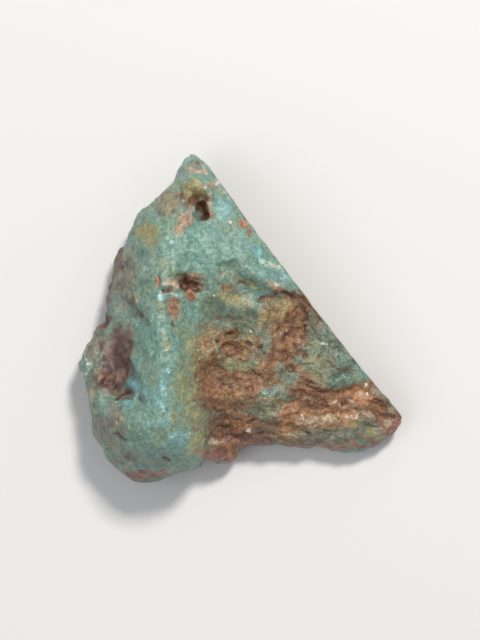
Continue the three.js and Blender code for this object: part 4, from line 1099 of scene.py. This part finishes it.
def turquoiseMaterial():
    # waxy blue-green stone, cloudy in several tones, under a chain of stains, some of which carry painted
    # highlights and painted shade; grains and grit shade and roughen it, and the split face has fine
    # lines
    material = bpy.data.materials.new("turquoise_in_matrix")
    material.use_nodes = True
    tree = material.node_tree
    tree.nodes.clear()
    inMetres = tree.nodes.new("ShaderNodeTexCoord").outputs["Object"]
    place = turnPlace(tree, inMetres, {"Scale": (1 / metresPerMm,) * 3})
    color = paint(finish["turquoise"])
    for shade, noise, edge, strength in turquoiseClouds:
        share = calculate(tree, "MULTIPLY", steepen(tree, cloud(tree, place, *noise), *edge), strength)
        color = blendColours(tree, share, color, paint(shade))
    group = stainGroup()
    amounts = {}
    for name, (light, dark, grain, breakUp, softness) in stainLooks.items():
        values = {"Place": place, "Color": color, "Light": paint(light), "Dark": paint(dark),
                  "Mask": readMask(tree, name), "Grain": grain, "Break": breakUp, "Softness": softness}
        layer = addNode(tree, "ShaderNodeGroup", values, node_tree=group)
        color, amounts[name] = layer.outputs["Color"], layer.outputs["Amount"]
    pock = calculate(tree, "MULTIPLY", readMask(tree, "pock"), finish["pockStrength"])
    color = blendColours(tree, pock, color, paint(finish["pock"]))

    crumbly = calculate(tree, "MAXIMUM", amounts["matrix"], amounts["rust"])
    loose = calculate(tree, "MAXIMUM", crumbly, amounts["earth"])
    sandy = addShare(tree, finish["sandy"][0], loose, finish["sandy"][1])
    coarse = cloud(tree, place, *grainClouds["coarse"])
    fine = cloud(tree, place, *grainClouds["fine"])
    grit = cells(tree, place, grainCells["grit"])
    sandyGrit = calculate(tree, "MULTIPLY", steepen(tree, grit["Color"], *finish["gritEdge"]), sandy)
    shade = finish["darkestShade"]
    shade = addShare(tree, shade, steepen(tree, coarse, *finish["coarseEdge"]), finish["coarseShade"])
    shade = addShare(tree, shade, steepen(tree, fine, *finish["fineEdge"]), finish["fineShade"])
    shade = addShare(tree, shade, sandyGrit, finish["gritShade"])
    color = addNode(tree, "ShaderNodeHueSaturation", {"Color": color, "Value": shade}).outputs[0]

    glints = cells(tree, place, grainCells["glints"])
    rarity = addShare(tree, glints["Color"], sandy, finish["sandyGlints"])
    glint = calculate(tree, "MULTIPLY", steepen(tree, rarity, *finish["glintRarity"]),
                      steepen(tree, glints["Distance"], *finish["glintEdge"]))
    color = blendColours(tree, glint, color, paint(finish["glint"]))

    split = readMask(tree, "split")
    roughness = mapRange(tree, {"Value": crumbly, "To Min": finish["turquoiseRoughness"],
                                "To Max": finish["matrixRoughness"]})
    roughness = calculate(tree, "SUBTRACT", roughness, finish["roughnessSpread"] / 2)
    roughness = addShare(tree, roughness, fine, finish["roughnessSpread"])
    roughness = addShare(tree, roughness, split, -finish["splitPolish"])
    splitTurn = -np.arctan2(nugget["splitNormal"][1], nugget["splitNormal"][0])
    drawn = turnPlace(tree, turnPlace(tree, place, {"Rotation": (0, 0, splitTurn)}),
                      {"Scale": finish["lineStretch"]})
    lines = calculate(tree, "MULTIPLY", cloud(tree, drawn, *grainClouds["lines"]), split)
    rise = calculate(tree, "MULTIPLY", fine, finish["fineRise"])
    rise = addShare(tree, rise, calculate(tree, "MULTIPLY", grit["Distance"], sandy), finish["gritRise"])
    rise = addShare(tree, rise, coarse, finish["coarseRise"])
    rise = addShare(tree, rise, lines, finish["lineRise"])
    bump = addNode(tree, "ShaderNodeBump", {
        "Height": rise, "Distance": metresPerMm, "Strength": finish["reliefStrength"],
    })
    surface = addNode(tree, "ShaderNodeBsdfPrincipled", {
        "Base Color": color, "Roughness": roughness, "Normal": bump.outputs[0],
        "Coat Weight": finish["coat"], "Coat Roughness": finish["coatRoughness"],
        "Subsurface Weight": finish["glow"], "Subsurface Scale": finish["glowDepth"],
    })
    output = addNode(tree, "ShaderNodeOutputMaterial", {"Surface": surface.outputs[0]})
    output.is_active_output = True
    return material


# table, lights and camera, in metres
studio = {
    "tableHalf": 2,
    "tableShade": (0.62, 0.61, 0.59, 1),
    "tableRoughness": 0.7,
    "lights": {                # place, width, power and colour; each faces the stone
        "key": ((0.15, 0.32, 0.53), 0.1, 3.85, (1.0, 0.97, 0.93)),
        "fill": ((-0.4, -0.1, 0.6), 0.5, 1.5, (0.95, 0.97, 1.0)),
    },
    "roomShade": (0.9, 0.93, 1.0, 1),
    "roomStrength": 0.48,
    "lens": 150,               # focal length in mm
    "cameraPlace": (-0.00005, -0.000145, 0.3567),
    "nearClip": 0.01,
}


def addTable():
    # plain pale table the stone rests on
    material = bpy.data.materials.new("pale_table")
    material.use_nodes = True
    surface = material.node_tree.nodes["Principled BSDF"]
    surface.inputs["Base Color"].default_value = studio["tableShade"]
    surface.inputs["Roughness"].default_value = studio["tableRoughness"]
    half = studio["tableHalf"]
    mesh = bpy.data.meshes.new("table_top")
    mesh.from_pydata([(-half, -half, 0), (half, -half, 0), (half, half, 0), (-half, half, 0)], [],
                     [(0, 1, 2, 3)])
    mesh.materials.append(material)
    table = bpy.data.objects.new("table_top", mesh)
    bpy.context.collection.objects.link(table)


def addLights():
    # square soft lights that face the stone, and an even light from the room
    for name, (place, width, power, shade) in studio["lights"].items():
        lamp = bpy.data.lights.new(name, "AREA")
        lamp.size, lamp.energy, lamp.color = width, power, shade
        light = bpy.data.objects.new(name, lamp)
        light.location = place
        light.rotation_euler = (-Vector(place)).to_track_quat("-Z", "Y").to_euler()
        bpy.context.collection.objects.link(light)
    world = bpy.data.worlds.new("soft_room")
    world.use_nodes = True
    room = world.node_tree.nodes["Background"].inputs
    room["Color"].default_value = studio["roomShade"]
    room["Strength"].default_value = studio["roomStrength"]
    bpy.context.scene.world = world
    bpy.context.scene.view_settings.view_transform = "Standard"


def addCamera():
    # long lens straight above, with the peak of the stone at the top of the view
    lens = bpy.data.cameras.new("overhead_camera")
    lens.lens = studio["lens"]
    lens.clip_start = studio["nearClip"]
    camera = bpy.data.objects.new("overhead_camera", lens)
    camera.location = studio["cameraPlace"]
    bpy.context.collection.objects.link(camera)
    bpy.context.scene.camera = camera


stone = buildNugget()
stone.data.materials.append(turquoiseMaterial())
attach(stone, "root")
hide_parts("nugget")
print("stone finished")

addTable()
addLights()
addCamera()
print("table, lights and camera set")
